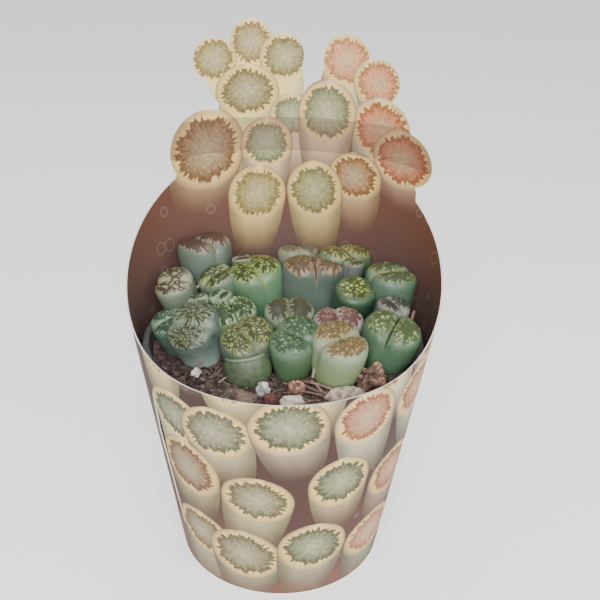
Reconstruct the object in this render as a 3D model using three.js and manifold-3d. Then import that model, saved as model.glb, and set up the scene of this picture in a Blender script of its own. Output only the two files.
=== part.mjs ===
// A pot of living stones (lithops) standing in a printed card sleeve.
// Millimetres, +Z up, origin at the middle of the pot's base.
import * as THREE from 'three';
import { mergeVertices } from 'three/addons/utils/BufferGeometryUtils.js';
import Module from 'manifold-3d';

const wasm = await Module();
wasm.setup();

// ---------- driving dimensions ----------
const gap = 0.3;              // running gap kept between touching pieces
const floorGap = 0.4;         // the sleeve's lower edge stays this far off the ground

const sleeveFoot = 33;        // outer radius of the sleeve at the ground
const sleeveSlope = 0.16;     // how much the radius grows per mm of height
const card = 0.6;             // thickness of the card
const cardTop = 172;          // the blank is cut from a cone this tall
const rimFrontZ = 76.2;       // lowest point of the rim, at the front
const rimBackZ = 116;         // height of the rim where the crest starts
const slotAngle = -58;        // the locking slot's bearing from the front
const slotFootZ = 15.5;
const slotHeadZ = 66;
const slotWidth = 0.9;

const potFoot = 31.8;         // outer radius of the pot at its base
const potTopZ = 74;
const potLip = 43.25;         // outer radius of the rolled rim
const lipDrop = 4;
const lipWidth = 2.1;
const potWall = 0.9;
const potFloor = 1.6;
const drainCount = 6;
const drainRadius = 3;
const drainRing = 20;

const soilZ = 70.4;           // mean height of the compost
const soilBump = 0.9;
const bodyFootZ = 60;         // the roots of the plant bodies reach down to here

const sleeveRadius = (z) => sleeveFoot + sleeveSlope * z;
const potFootIn = potFoot - potWall;
const potRadiusIn = (z) => potFootIn + (potLip - lipWidth - potFootIn) * z / potTopZ;
const radians = (degrees) => degrees * Math.PI / 180;

// ---------- small helpers ----------
const paint = (color, roughness) => new THREE.MeshStandardMaterial({ color, roughness, metalness: 0 });

function toSolid(geometry) {
  const bare = geometry.index ? geometry.toNonIndexed() : geometry.clone();
  bare.deleteAttribute('normal');
  bare.deleteAttribute('uv');
  const merged = mergeVertices(bare, 1e-4);
  return new wasm.Manifold(new wasm.Mesh({
    numProp: 3,
    vertProperties: new Float32Array(merged.attributes.position.array),
    triVerts: new Uint32Array(merged.index.array),
  }));
}

function toGeometry(solid) {
  const mesh = solid.getMesh();
  const geometry = new THREE.BufferGeometry();
  geometry.setAttribute('position', new THREE.BufferAttribute(new Float32Array(mesh.vertProperties), 3));
  geometry.setIndex(new THREE.BufferAttribute(new Uint32Array(mesh.triVerts), 1));
  return geometry;
}

const part = new THREE.Group();

function addPiece(name, solid, material) {
  const mesh = new THREE.Mesh(toGeometry(solid), material);
  mesh.name = name;
  part.add(mesh);
}

// A fixed stream of draws, so that every run gives the same part.
function drawStream(seed) {
  let state = seed;
  return (low, high) => {
    state = (state * 16807) % 2147483647;
    return low + (high - low) * state / 2147483647;
  };
}

function lathe(points, segments) {
  const turned = new THREE.LatheGeometry(points.map(([r, z]) => new THREE.Vector2(r, z)), segments);
  return turned.rotateX(Math.PI / 2);
}

function facesGeometry(points, faces) {
  const geometry = new THREE.BufferGeometry();
  geometry.setAttribute('position', new THREE.Float32BufferAttribute(points.flatMap((p) => [...p]), 3));
  geometry.setIndex(faces);
  return geometry;
}

// ---------- plant bodies ----------
// Each body is a pair of fused leaves: a stout column, flat on top, parted by a fissure.
// top: middle of the upper face; lean: its tilt; root: where the body goes down;
// half: half length along the fissure and half width across it; fissure: bearing in plan.
const bodies = [
  { name: 'body_back_left', top: [-27.6, 26.4, 95.2], lean: [-0.12, 0], root: [-20, 19],
    half: [8.6, 9], fissure: 126, color: 0x61706a },
  { name: 'body_left_pale', top: [-35.9, 10.5, 87.4], lean: [-0.28, -0.4], root: [-30, 7],
    half: [6.4, 6.9], fissure: -5, color: 0x848a78 },
  { name: 'body_left_small', top: [-35.4, -6, 81.6], lean: [-0.35, -0.3], root: [-29.5, -1.5],
    half: [5.6, 6.2], fissure: 24, color: 0x6c8170 },
  { name: 'body_front_left', top: [-27, -14.5, 84.4], lean: [-0.3, -0.7], root: [-24.5, -6.5],
    half: [8, 8.9], fissure: -16, color: 0x63726b },
  { name: 'body_left_bud', top: [-26.6, 1.5, 84.9], lean: [-0.2, -0.3], root: [-21.5, 5],
    half: [3.8, 3.4], fissure: 10, color: 0x66735c },
  { name: 'body_mottled', top: [-15, -8, 86.4], lean: [-0.1, -0.35], root: [-13, 1],
    half: [7, 7.1], fissure: 110, color: 0x667a5e },
  { name: 'body_mottled_bud', top: [-19.7, 0.5, 87.3], lean: [-0.15, -0.2], root: [-16.5, 8],
    half: [3.9, 3.4], fissure: 60, color: 0x6d8068 },
  { name: 'body_slanted', top: [-22.2, 11.5, 89.4], lean: [-0.25, -0.25], root: [-17, 15],
    half: [6.4, 5.8], fissure: 42, color: 0x768672 },
  { name: 'body_bright', top: [-10.4, 14.5, 91], lean: [-0.16, -0.2], root: [-6.5, 14],
    half: [8.2, 9], fissure: 119, color: 0x57734e },
  { name: 'body_dark_bud', top: [-14.6, 21.3, 91.4], lean: [-0.1, 0.05], root: [-13, 24.5],
    half: [3.6, 3.2], fissure: 20, color: 0x4e5549 },
  { name: 'body_yellow', top: [-10.2, -20.5, 84.8], lean: [-0.1, -0.5], root: [-8, -11],
    half: [7.4, 8.2], fissure: 118, color: 0x7b8264 },
  { name: 'body_dark_window', top: [1.8, -9, 88], lean: [0, -0.3], root: [2, 0.5],
    half: [6.4, 7.6], fissure: 92, color: 0x646d58 },
  { name: 'body_front_middle', top: [3.6, -22, 86], lean: [0, -0.5], root: [3.4, -10.5],
    half: [6.8, 8.3], fissure: -30, color: 0x778f71 },
  { name: 'body_front_right', top: [16.8, -23.2, 85.8], lean: [0.12, -0.3], root: [14.8, -17],
    half: [7.8, 8.6], fissure: 32, color: 0xa4ac97 },
  { name: 'body_purple', top: [16.3, -12.2, 87], lean: [0.05, -0.25], root: [16, -3],
    half: [6.2, 7.6], fissure: 102, color: 0x81817b },
  { name: 'body_right', top: [32.3, -15.3, 86], lean: [0.15, -0.3], root: [28.5, -2],
    half: [7.8, 8.8], fissure: 70, color: 0x758e74 },
  { name: 'body_grey_bud', top: [33.2, -4, 88], lean: [0.15, -0.1], root: [31.5, 4],
    half: [5.4, 4.8], fissure: 125, color: 0x747167 },
  { name: 'body_lime', top: [22, 3.5, 89], lean: [0.1, -0.4], root: [20, 8.5],
    half: [6.6, 6.4], fissure: 20, color: 0x60725a },
  { name: 'body_tallest', top: [9, 17.3, 92.3], lean: [0, -0.1], root: [8.4, 15],
    half: [7.2, 10.9], fissure: 98, color: 0x5f6c59 },
  { name: 'body_behind', top: [3.8, 26.9, 93], lean: [0, 0.05], root: [2.5, 27],
    half: [4.6, 7], fissure: 100, color: 0x6a6c5c },
  { name: 'body_back_right', top: [19.6, 23.4, 94.2], lean: [0.1, 0.05], root: [17.5, 25],
    half: [6.2, 9.8], fissure: 121, color: 0x66754f },
  { name: 'body_back_bud', top: [21.7, 16.4, 92.8], lean: [0.1, 0], root: [21, 17],
    half: [3.5, 3.5], fissure: 40, color: 0x60706a },
  { name: 'body_far_right', top: [33.6, 10.5, 92.4], lean: [0.1, -0.05], root: [30.8, 14.5],
    half: [8.2, 8.3], fissure: 25, color: 0x68806a },
];

const shoulder = 0.5;         // height of the rounded shoulder, as a share of the half width
const faceFlat = 0.62;        // power that flattens the faces and squares the plan
const footTaper = 0.46;       // share of its width that a body loses towards its root
const fissureDepth = 0.16;    // as a share of the half width
const fissureHalf = 1.2;      // how wide the fissure opens, mm
const endNotch = 0.1;         // how far the fissure bites into its two ends

// Rows run round the fissure's own axis, so that the fissure is one clean crease.
const halfRounds = [0, 4, 20, 44, 70, 98, 128, 155, 180];
const rounds = [...halfRounds, ...halfRounds.slice(1, -1).reverse().map((degrees) => 360 - degrees)];
const alongs = [22, 42, 64, 90, 116, 138, 158];

// One point of a body's skin, from its bearing round the fissure's axis and its place along it.
function skinPoint(body, grow, round, along) {
  const acrossUnit = Math.sin(along) * Math.sin(round);
  const alongUnit = Math.cos(along);
  const upUnit = Math.sin(along) * Math.cos(round);
  const reach = Math.hypot(acrossUnit, alongUnit);
  const squared = reach > 1e-6 ? reach ** (faceFlat - 1) : 0;
  const halfLength = body.half[0] + grow;
  const halfWidth = body.half[1] + grow;
  const cap = shoulder * body.half[1];
  const down = Math.max(-upUnit, 0) ** 0.9;
  const taper = 1 - footTaper * down ** 1.5;
  const across = acrossUnit * squared * halfWidth * taper;
  const open = grow ? 0 : Math.exp(-((across / fissureHalf) ** 2));
  const nearTop = Math.min(Math.max((upUnit + 0.5) / 0.6, 0), 1);
  const nearFace = Math.min(Math.max((upUnit + 0.1) / 0.5, 0), 1);
  const length = alongUnit * squared * halfLength * taper * (1 - endNotch * open * nearTop);
  const height = (cap + grow) * (Math.max(upUnit, 0) ** faceFlat) - cap
    - fissureDepth * body.half[1] * open * nearFace;

  const axis = new THREE.Vector3(body.lean[0], body.lean[1], 1).normalize();
  const alongAxis = new THREE.Vector3(Math.cos(radians(body.fissure)), Math.sin(radians(body.fissure)), 0);
  alongAxis.addScaledVector(axis, -alongAxis.dot(axis)).normalize();
  const acrossAxis = new THREE.Vector3().crossVectors(axis, alongAxis);
  const top = new THREE.Vector3(...body.top);
  const root = new THREE.Vector3(body.root[0], body.root[1], bodyFootZ - grow);
  const neck = top.clone().addScaledVector(axis, -cap);
  const bend = top.clone().addScaledVector(axis, -cap - 0.45 * top.distanceTo(root));
  const spine = new THREE.QuadraticBezierCurve3(neck, bend, root).getPoint(down);
  return spine
    .addScaledVector(axis, cap + height)
    .addScaledVector(acrossAxis, across)
    .addScaledVector(alongAxis, length);
}

// A closed skin: rings of points between two poles at the fissure's ends.
function bodySolid(body, grow = 0) {
  const points = [skinPoint(body, grow, 0, 0)];
  for (const along of alongs) {
    for (const round of rounds) points.push(skinPoint(body, grow, radians(round), radians(along)));
  }
  points.push(skinPoint(body, grow, 0, Math.PI));
  const last = points.length - 1;
  const count = rounds.length;
  const faces = [];
  for (let k = 0; k < count; k += 1) {
    const next = (k + 1) % count;
    faces.push(0, 1 + next, 1 + k);
    for (let ring = 0; ring < alongs.length - 1; ring += 1) {
      const a = 1 + ring * count;
      const b = a + count;
      faces.push(a + k, b + next, b + k, a + k, a + next, b + next);
    }
    const end = 1 + (alongs.length - 1) * count;
    faces.push(last, end + k, end + next);
  }
  return toSolid(facesGeometry(points, faces));
}

// The withered outer leaf that still cups the yellow body's foot.
const oldLeaf = { middle: [-9.6, -21.5, 74.5], radii: [6.9, 6.2, 8.2] };

function ballSolid({ middle, radii }, grow) {
  const ball = new THREE.SphereGeometry(1, 20, 12).rotateX(Math.PI / 2);
  return toSolid(ball.scale(...radii.map((radius) => radius + grow)).translate(...middle));
}

// ---------- sleeve ----------
// A cone of card with a low front, sides that climb, and a high lobed crest at the back.
const crestBlobs = [
  // [across, height, half width, half height, turn]
  [-27.6, 120.6, 11.2, 12.6, 8], [-25.7, 149, 6.3, 6.6, 0], [-20, 142, 7.2, 12, 28],
  [-13.6, 154, 7, 7.4, 0], [-3, 149.5, 7.2, 7.4, -8], [-2.5, 141, 6.8, 11, 0], [-12, 134, 12, 15, 0],
  [12, 131, 9.6, 11.5, 0], [18.4, 149.2, 7.6, 8, 0], [18, 141, 8, 10, 0], [28.8, 143, 6.8, 7.2, -20],
  [24, 137, 8.6, 10, 30], [30.5, 128.6, 9, 9.4, 0], [37.3, 120.6, 8.4, 8.6, 0],
];
const crestWeb = [[-37.4, 100], [-37.4, 113.2], [-30, 128], [0, 137], [10, 138], [24, 136], [36, 126],
  [41.8, 112], [41.8, 100]];

function crestSolid() {
  const web = new THREE.Shape(crestWeb.map(([x, z]) => new THREE.Vector2(x, z)));
  const outlines = [web, ...crestBlobs.map(([x, z, wide, high, turn]) => {
    const blob = new THREE.Shape();
    return blob.absellipse(x, z, wide, high, 0, 2 * Math.PI, false, radians(turn));
  })];
  const slabs = outlines.map((outline) => {
    const slab = new THREE.ExtrudeGeometry(outline, { depth: 80, bevelEnabled: false, curveSegments: 18 });
    return toSolid(slab.rotateX(Math.PI / 2).translate(0, 82, 0));
  });
  return slabs.reduce((sum, slab) => sum.add(slab));
}

function lowRimSolid() {
  const outline = new THREE.Shape();
  outline.moveTo(-60, -5);
  outline.lineTo(-60, rimFrontZ);
  outline.lineTo(-47, rimFrontZ);
  outline.bezierCurveTo(-20, rimFrontZ + 1, -12, 86, 36, rimBackZ - 2.5);
  outline.lineTo(38, rimBackZ);
  outline.lineTo(60, rimBackZ);
  outline.lineTo(60, -5);
  const slab = new THREE.ExtrudeGeometry(outline, { depth: 140, bevelEnabled: false, curveSegments: 20 });
  // the outline's x runs from front to back, its y upwards
  return toSolid(slab.rotateX(Math.PI / 2).rotateZ(Math.PI / 2).translate(-70, 0, 0));
}

// A bar along a straight line of the cone, for the locking slot and for its lip, raised on one side.
function conePanel(angle, halfWidth, lowZ, highZ, inward, outward, raised = 0) {
  const bearing = radians(angle);
  const out = new THREE.Vector3(Math.sin(bearing), -Math.cos(bearing), 0);
  const side = new THREE.Vector3(Math.cos(bearing), Math.sin(bearing), 0);
  const corners = [];
  for (const z of [lowZ, highZ]) {
    for (const [across, depth] of [[-1, inward], [1, inward], [1, outward], [-1, outward]]) {
      const lift = across > 0 && depth === outward ? raised : 0;
      corners.push(out.clone().multiplyScalar(sleeveRadius(z) + depth + lift)
        .addScaledVector(side, across * halfWidth).setZ(z));
    }
  }
  return toSolid(facesGeometry(corners, [0, 1, 2, 0, 2, 3, 4, 6, 5, 4, 7, 6, 0, 5, 1, 0, 4, 5,
    1, 6, 2, 1, 5, 6, 2, 7, 3, 2, 6, 7, 3, 4, 0, 3, 7, 4]));
}

function sleeveSolid() {
  const outer = sleeveRadius(cardTop);
  const foot = sleeveRadius(floorGap);
  const wall = lathe([[foot - card, floorGap], [foot, floorGap], [outer, cardTop], [outer - card, cardTop],
    [foot - card, floorGap]], 108);
  const lipHalf = 2.4;
  const lipAngle = slotAngle - (lipHalf + slotWidth / 2) / sleeveRadius(40) * 180 / Math.PI;
  const lip = conePanel(lipAngle, lipHalf, slotFootZ + 1, slotHeadZ - 1, -card * 0.6, 0.1, 0.7);
  return toSolid(wall)
    .intersect(lowRimSolid().add(crestSolid()))
    .add(lip)
    .subtract(conePanel(slotAngle, slotWidth / 2, slotFootZ, slotHeadZ, -2 * card, 2 * card));
}

// ---------- pot ----------
function potSolid() {
  const lipFootZ = potTopZ - lipDrop;
  const round = 0.6;
  const shell = lathe([
    [0, 0], [potFoot - round, 0], [potFoot, round],
    [potRadiusIn(lipFootZ) + potWall, lipFootZ], [potLip - 0.2, lipFootZ],
    [potLip, potTopZ - round], [potLip - round, potTopZ], [potLip - lipWidth + round, potTopZ],
    [potRadiusIn(potTopZ - round), potTopZ - round], [potRadiusIn(potFloor), potFloor], [0, potFloor],
  ], 64);
  let pot = toSolid(shell);
  for (let k = 0; k < drainCount; k += 1) {
    const bearing = 2 * Math.PI * (k + 0.5) / drainCount;
    const drill = new THREE.CylinderGeometry(drainRadius, drainRadius, 3 * potFloor, 12).rotateX(Math.PI / 2);
    drill.translate(drainRing * Math.cos(bearing), drainRing * Math.sin(bearing), 0);
    pot = pot.subtract(toSolid(drill));
  }
  return pot;
}

// ---------- compost ----------
function soilSolid() {
  const topRadius = potRadiusIn(soilZ - soilBump) - gap;
  const footRadius = potRadiusIn(potFloor) - gap;
  const sides = 40;
  const rings = 9;
  const draw = drawStream(4711);
  const points = [[0, 0, soilZ]];
  const faces = [];
  for (let ring = 1; ring <= rings; ring += 1) {
    for (let k = 0; k < sides; k += 1) {
      const bearing = 2 * Math.PI * (k + (ring % 2) / 2) / sides;
      const radius = topRadius * ring / rings;
      const bump = ring < rings ? draw(-soilBump, soilBump) : draw(-soilBump, 0);
      points.push([radius * Math.cos(bearing), radius * Math.sin(bearing), soilZ + bump]);
    }
  }
  for (let k = 0; k < sides; k += 1) {
    const bearing = 2 * Math.PI * (k + (rings % 2) / 2) / sides;
    points.push([footRadius * Math.cos(bearing), footRadius * Math.sin(bearing), potFloor + gap]);
  }
  const bottom = points.length;
  points.push([0, 0, potFloor + gap]);
  for (let k = 0; k < sides; k += 1) {
    const next = (k + 1) % sides;
    faces.push(0, 1 + k, 1 + next);
    for (let ring = 0; ring < rings; ring += 1) {
      const a = 1 + ring * sides;
      const b = a + sides;
      faces.push(a + k, b + k, b + next, a + k, b + next, a + next);
    }
    faces.push(bottom, 1 + rings * sides + next, 1 + rings * sides + k);
  }
  return toSolid(facesGeometry(points, faces));
}

// ---------- stones and bark on the compost ----------
const stones = [
  // at: its middle; size: its radii; rough: how far its corners stray from round
  { name: 'perlite_grain', at: [-5, -30, 72], size: [2.2, 2.1, 2],
    turn: 20, rough: 0.16, color: 0xb7b4ad },
  { name: 'pumice_stone', at: [18, -31, 71.4], size: [5.6, 3.2, 2.2],
    turn: 14, rough: 0.1, color: 0xb4a090 },
  { name: 'pink_chunk', at: [4.6, -29, 72], size: [2.3, 2, 2.3],
    turn: 0, rough: 0.22, color: 0x8a655c },
  { name: 'white_stone', at: [3.3, -36, 71.8], size: [3.1, 2.1, 1.9],
    turn: -16, rough: 0.1, color: 0xc3b5ac },
  { name: 'brown_stone', at: [-11.8, -33.4, 71.4], size: [5.2, 3.1, 2.2],
    turn: -16, rough: 0.12, color: 0x655549 },
  { name: 'red_stone', at: [-2.6, -34.9, 71.6], size: [2.2, 1.9, 1.8],
    turn: 30, rough: 0.12, color: 0x5a3836 },
  { name: 'bark_chunk', at: [26, -24.8, 73], size: [4.2, 3.6, 4.2],
    turn: 10, rough: 0.2, color: 0x645243 },
  { name: 'white_grain', at: [-24.6, -21, 71.8], size: [1.4, 1.2, 1.4],
    turn: 40, rough: 0.18, color: 0xcfcac0 },
];

function stoneSolid(stone, seed, grow) {
  const draw = drawStream(seed);
  const rough = new THREE.IcosahedronGeometry(1, 1).deleteAttribute('normal').deleteAttribute('uv');
  const ball = mergeVertices(rough);
  const spots = ball.attributes.position;
  for (let k = 0; k < spots.count; k += 1) {
    const swell = 1 + draw(-stone.rough, stone.rough);
    spots.setXYZ(k, spots.getX(k) * swell, spots.getY(k) * swell, spots.getZ(k) * swell);
  }
  ball.scale(...stone.size.map((radius) => radius + grow));
  return toSolid(ball.rotateZ(radians(stone.turn)).translate(...stone.at));
}

// ---------- assembly ----------
// Takes the given bodies' room, with the running gap, out of a solid that stands close to them.
function giveWay(solid, [x, y], nearer, reach) {
  const close = nearer.filter(({ top }) => Math.hypot(top[0] - x, top[1] - y) < reach);
  return close.reduce((rest, body) => rest.subtract(bodySolid(body, gap)), solid);
}

// Bodies in front keep their whole shape; those behind give way to them.
const frontFirst = [...bodies].sort((p, q) => p.top[1] - q.top[1]);
let soil = soilSolid();
frontFirst.forEach((body, order) => {
  const clear = giveWay(bodySolid(body), body.top, frontFirst.slice(0, order), 30);
  addPiece(body.name, clear, paint(body.color, 0.5));
  soil = soil.subtract(bodySolid(body, gap));
});

const leaf = giveWay(ballSolid(oldLeaf, 0), oldLeaf.middle, bodies, 22);
addPiece('old_leaf', leaf, paint(0x63735d, 0.6));
const leafSeat = ballSolid(oldLeaf, gap);
soil = soil.subtract(leafSeat);

stones.forEach((stone, order) => {
  const seed = 100 + order;
  const clear = giveWay(stoneSolid(stone, seed, 0), stone.at, bodies, 22).subtract(leafSeat);
  addPiece(stone.name, clear, paint(stone.color, 0.85));
  soil = soil.subtract(stoneSolid(stone, seed, 1.2 * gap));
});

addPiece('soil', soil, paint(0x4e423f, 0.95));
addPiece('pot', potSolid(), paint(0x50504f, 0.5));
addPiece('sleeve', sleeveSolid(), paint(0x7b6561, 0.6));

export default part;
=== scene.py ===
# A pot of living stones in a printed card sleeve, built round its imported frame.
import math
import random

import bmesh
import bpy
from mathutils import Matrix, Vector, geometry, noise
from mathutils.bvhtree import BVHTree


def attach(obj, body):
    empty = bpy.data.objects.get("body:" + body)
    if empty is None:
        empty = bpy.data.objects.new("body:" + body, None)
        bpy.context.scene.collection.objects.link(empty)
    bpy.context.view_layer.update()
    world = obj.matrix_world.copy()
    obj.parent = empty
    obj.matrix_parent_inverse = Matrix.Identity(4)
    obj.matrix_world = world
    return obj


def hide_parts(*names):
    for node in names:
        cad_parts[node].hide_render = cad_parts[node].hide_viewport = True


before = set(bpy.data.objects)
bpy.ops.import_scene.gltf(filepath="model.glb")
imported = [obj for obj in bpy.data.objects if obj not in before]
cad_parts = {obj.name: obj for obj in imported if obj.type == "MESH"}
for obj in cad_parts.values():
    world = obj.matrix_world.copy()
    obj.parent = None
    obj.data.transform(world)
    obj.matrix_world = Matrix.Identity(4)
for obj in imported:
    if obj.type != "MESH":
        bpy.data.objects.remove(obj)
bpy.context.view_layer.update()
mm = 0.001
noise.seed_set(5)       # noise vectors are then the same in every run


# an sRGB hex colour as the linear values that a socket takes
def linear(hexColour):
    channels = [int(hexColour[k:k + 2], 16) / 255 for k in (0, 2, 4)]
    return [c / 12.92 if c <= 0.04045 else ((c + 0.055) / 1.055) ** 2.4 for c in channels] + [1.0]


# adds a node with its settings; an input is linked where it is given a socket, and else set
def addNode(tree, kind, inputs=None, **settings):
    node = tree.nodes.new("ShaderNode" + kind)
    for name, value in settings.items():
        setattr(node, name, value)
    for name, value in (inputs or {}).items():
        socket = node.inputs[name]
        if isinstance(value, bpy.types.NodeSocket):
            tree.links.new(value, socket)
        else:
            socket.default_value = value
    return node


# a material with sockets of its shader set; an underscore stands for a space in a socket's name
def addMaterial(name, **sockets):
    material = bpy.data.materials.new(name)
    material.use_nodes = True
    tree = material.node_tree
    shader = tree.nodes["Principled BSDF"]
    for socket, value in sockets.items():
        shader.inputs[socket.replace("_", " ")].default_value = value
    return material, tree, shader


# makes the object on the root body; nodes are the solids that it takes the place of
def finishPiece(bm, name, materials, nodes=()):
    mesh = bpy.data.meshes.new(name)
    for face in bm.faces:
        face.smooth = True
    bm.to_mesh(mesh)
    bm.free()
    for material in materials:
        mesh.materials.append(material)
    piece = bpy.data.objects.new(name, mesh)
    bpy.context.scene.collection.objects.link(piece)
    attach(piece, "root")
    if nodes:
        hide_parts(*nodes)
    return piece


def smoothStep(low, high, value):
    t = min(max((value - low) / (high - low), 0), 1)
    return t * t * (3 - 2 * t)


viewSetup = {
    "aim": (4.82, 0, 85.93), "distance": 250,      # mm
    "elevation": 24.72, "roll": 1.42,              # degrees
    "lens": 49.28, "sensor": 36,                   # mm inside the camera
}


def makeCamera():
    tilt = math.radians(viewSetup["elevation"])
    back = Vector((0, -math.cos(tilt), math.sin(tilt)))
    up = Vector((0, math.sin(tilt), math.cos(tilt)))
    turn = Matrix((Vector((1, 0, 0)), up, back)).transposed()
    spin = Matrix.Rotation(math.radians(viewSetup["roll"]), 3, "Z")
    data = bpy.data.cameras.new("studioCamera")
    data.lens = viewSetup["lens"]
    data.sensor_width = viewSetup["sensor"]
    data.clip_start = 0.01
    camera = bpy.data.objects.new("studioCamera", data)
    place = (Vector(viewSetup["aim"]) + back * viewSetup["distance"]) * mm
    camera.matrix_world = Matrix.Translation(place) @ (turn @ spin).to_4x4()
    bpy.context.scene.collection.objects.link(camera)
    bpy.context.scene.camera = camera
    print("camera placed")


makeCamera()


# The same table as the solid model holds: top, lean, root, half sizes in mm, fissure bearing in degrees.
stoneForms = {
    "body_back_left": ((-27.6, 26.4, 95.2), (-0.12, 0), (-20, 19), (8.6, 9), 126),
    "body_left_pale": ((-35.9, 10.5, 87.4), (-0.28, -0.4), (-30, 7), (6.4, 6.9), -5),
    "body_left_small": ((-35.4, -6, 81.6), (-0.35, -0.3), (-29.5, -1.5), (5.6, 6.2), 24),
    "body_front_left": ((-27, -14.5, 84.4), (-0.3, -0.7), (-24.5, -6.5), (8, 8.9), -16),
    "body_left_bud": ((-26.6, 1.5, 84.9), (-0.2, -0.3), (-21.5, 5), (3.8, 3.4), 10),
    "body_mottled": ((-15, -8, 86.4), (-0.1, -0.35), (-13, 1), (7, 7.1), 110),
    "body_mottled_bud": ((-19.7, 0.5, 87.3), (-0.15, -0.2), (-16.5, 8), (3.9, 3.4), 60),
    "body_slanted": ((-22.2, 11.5, 89.4), (-0.25, -0.25), (-17, 15), (6.4, 5.8), 42),
    "body_bright": ((-10.4, 14.5, 91), (-0.16, -0.2), (-6.5, 14), (8.2, 9), 119),
    "body_dark_bud": ((-14.6, 21.3, 91.4), (-0.1, 0.05), (-13, 24.5), (3.6, 3.2), 20),
    "body_yellow": ((-10.2, -20.5, 84.8), (-0.1, -0.5), (-8, -11), (7.4, 8.2), 118),
    "body_dark_window": ((1.8, -9, 88), (0, -0.3), (2, 0.5), (6.4, 7.6), 92),
    "body_front_middle": ((3.6, -22, 86), (0, -0.5), (3.4, -10.5), (6.8, 8.3), -30),
    "body_front_right": ((16.8, -23.2, 85.8), (0.12, -0.3), (14.8, -17), (7.8, 8.6), 32),
    "body_purple": ((16.3, -12.2, 87), (0.05, -0.25), (16, -3), (6.2, 7.6), 102),
    "body_right": ((32.3, -15.3, 86), (0.15, -0.3), (28.5, -2), (7.8, 8.8), 70),
    "body_grey_bud": ((33.2, -4, 88), (0.15, -0.1), (31.5, 4), (5.4, 4.8), 125),
    "body_lime": ((22, 3.5, 89), (0.1, -0.4), (20, 8.5), (6.6, 6.4), 20),
    "body_tallest": ((9, 17.3, 92.3), (0, -0.1), (8.4, 15), (7.2, 10.9), 98),
    "body_behind": ((3.8, 26.9, 93), (0, 0.05), (2.5, 27), (4.6, 7), 100),
    "body_back_right": ((19.6, 23.4, 94.2), (0.1, 0.05), (17.5, 25), (6.2, 9.8), 121),
    "body_back_bud": ((21.7, 16.4, 92.8), (0.1, 0), (21, 17), (3.5, 3.5), 40),
    "body_far_right": ((33.6, 10.5, 92.4), (0.1, -0.05), (30.8, 14.5), (8.2, 8.3), 25),
}

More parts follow.
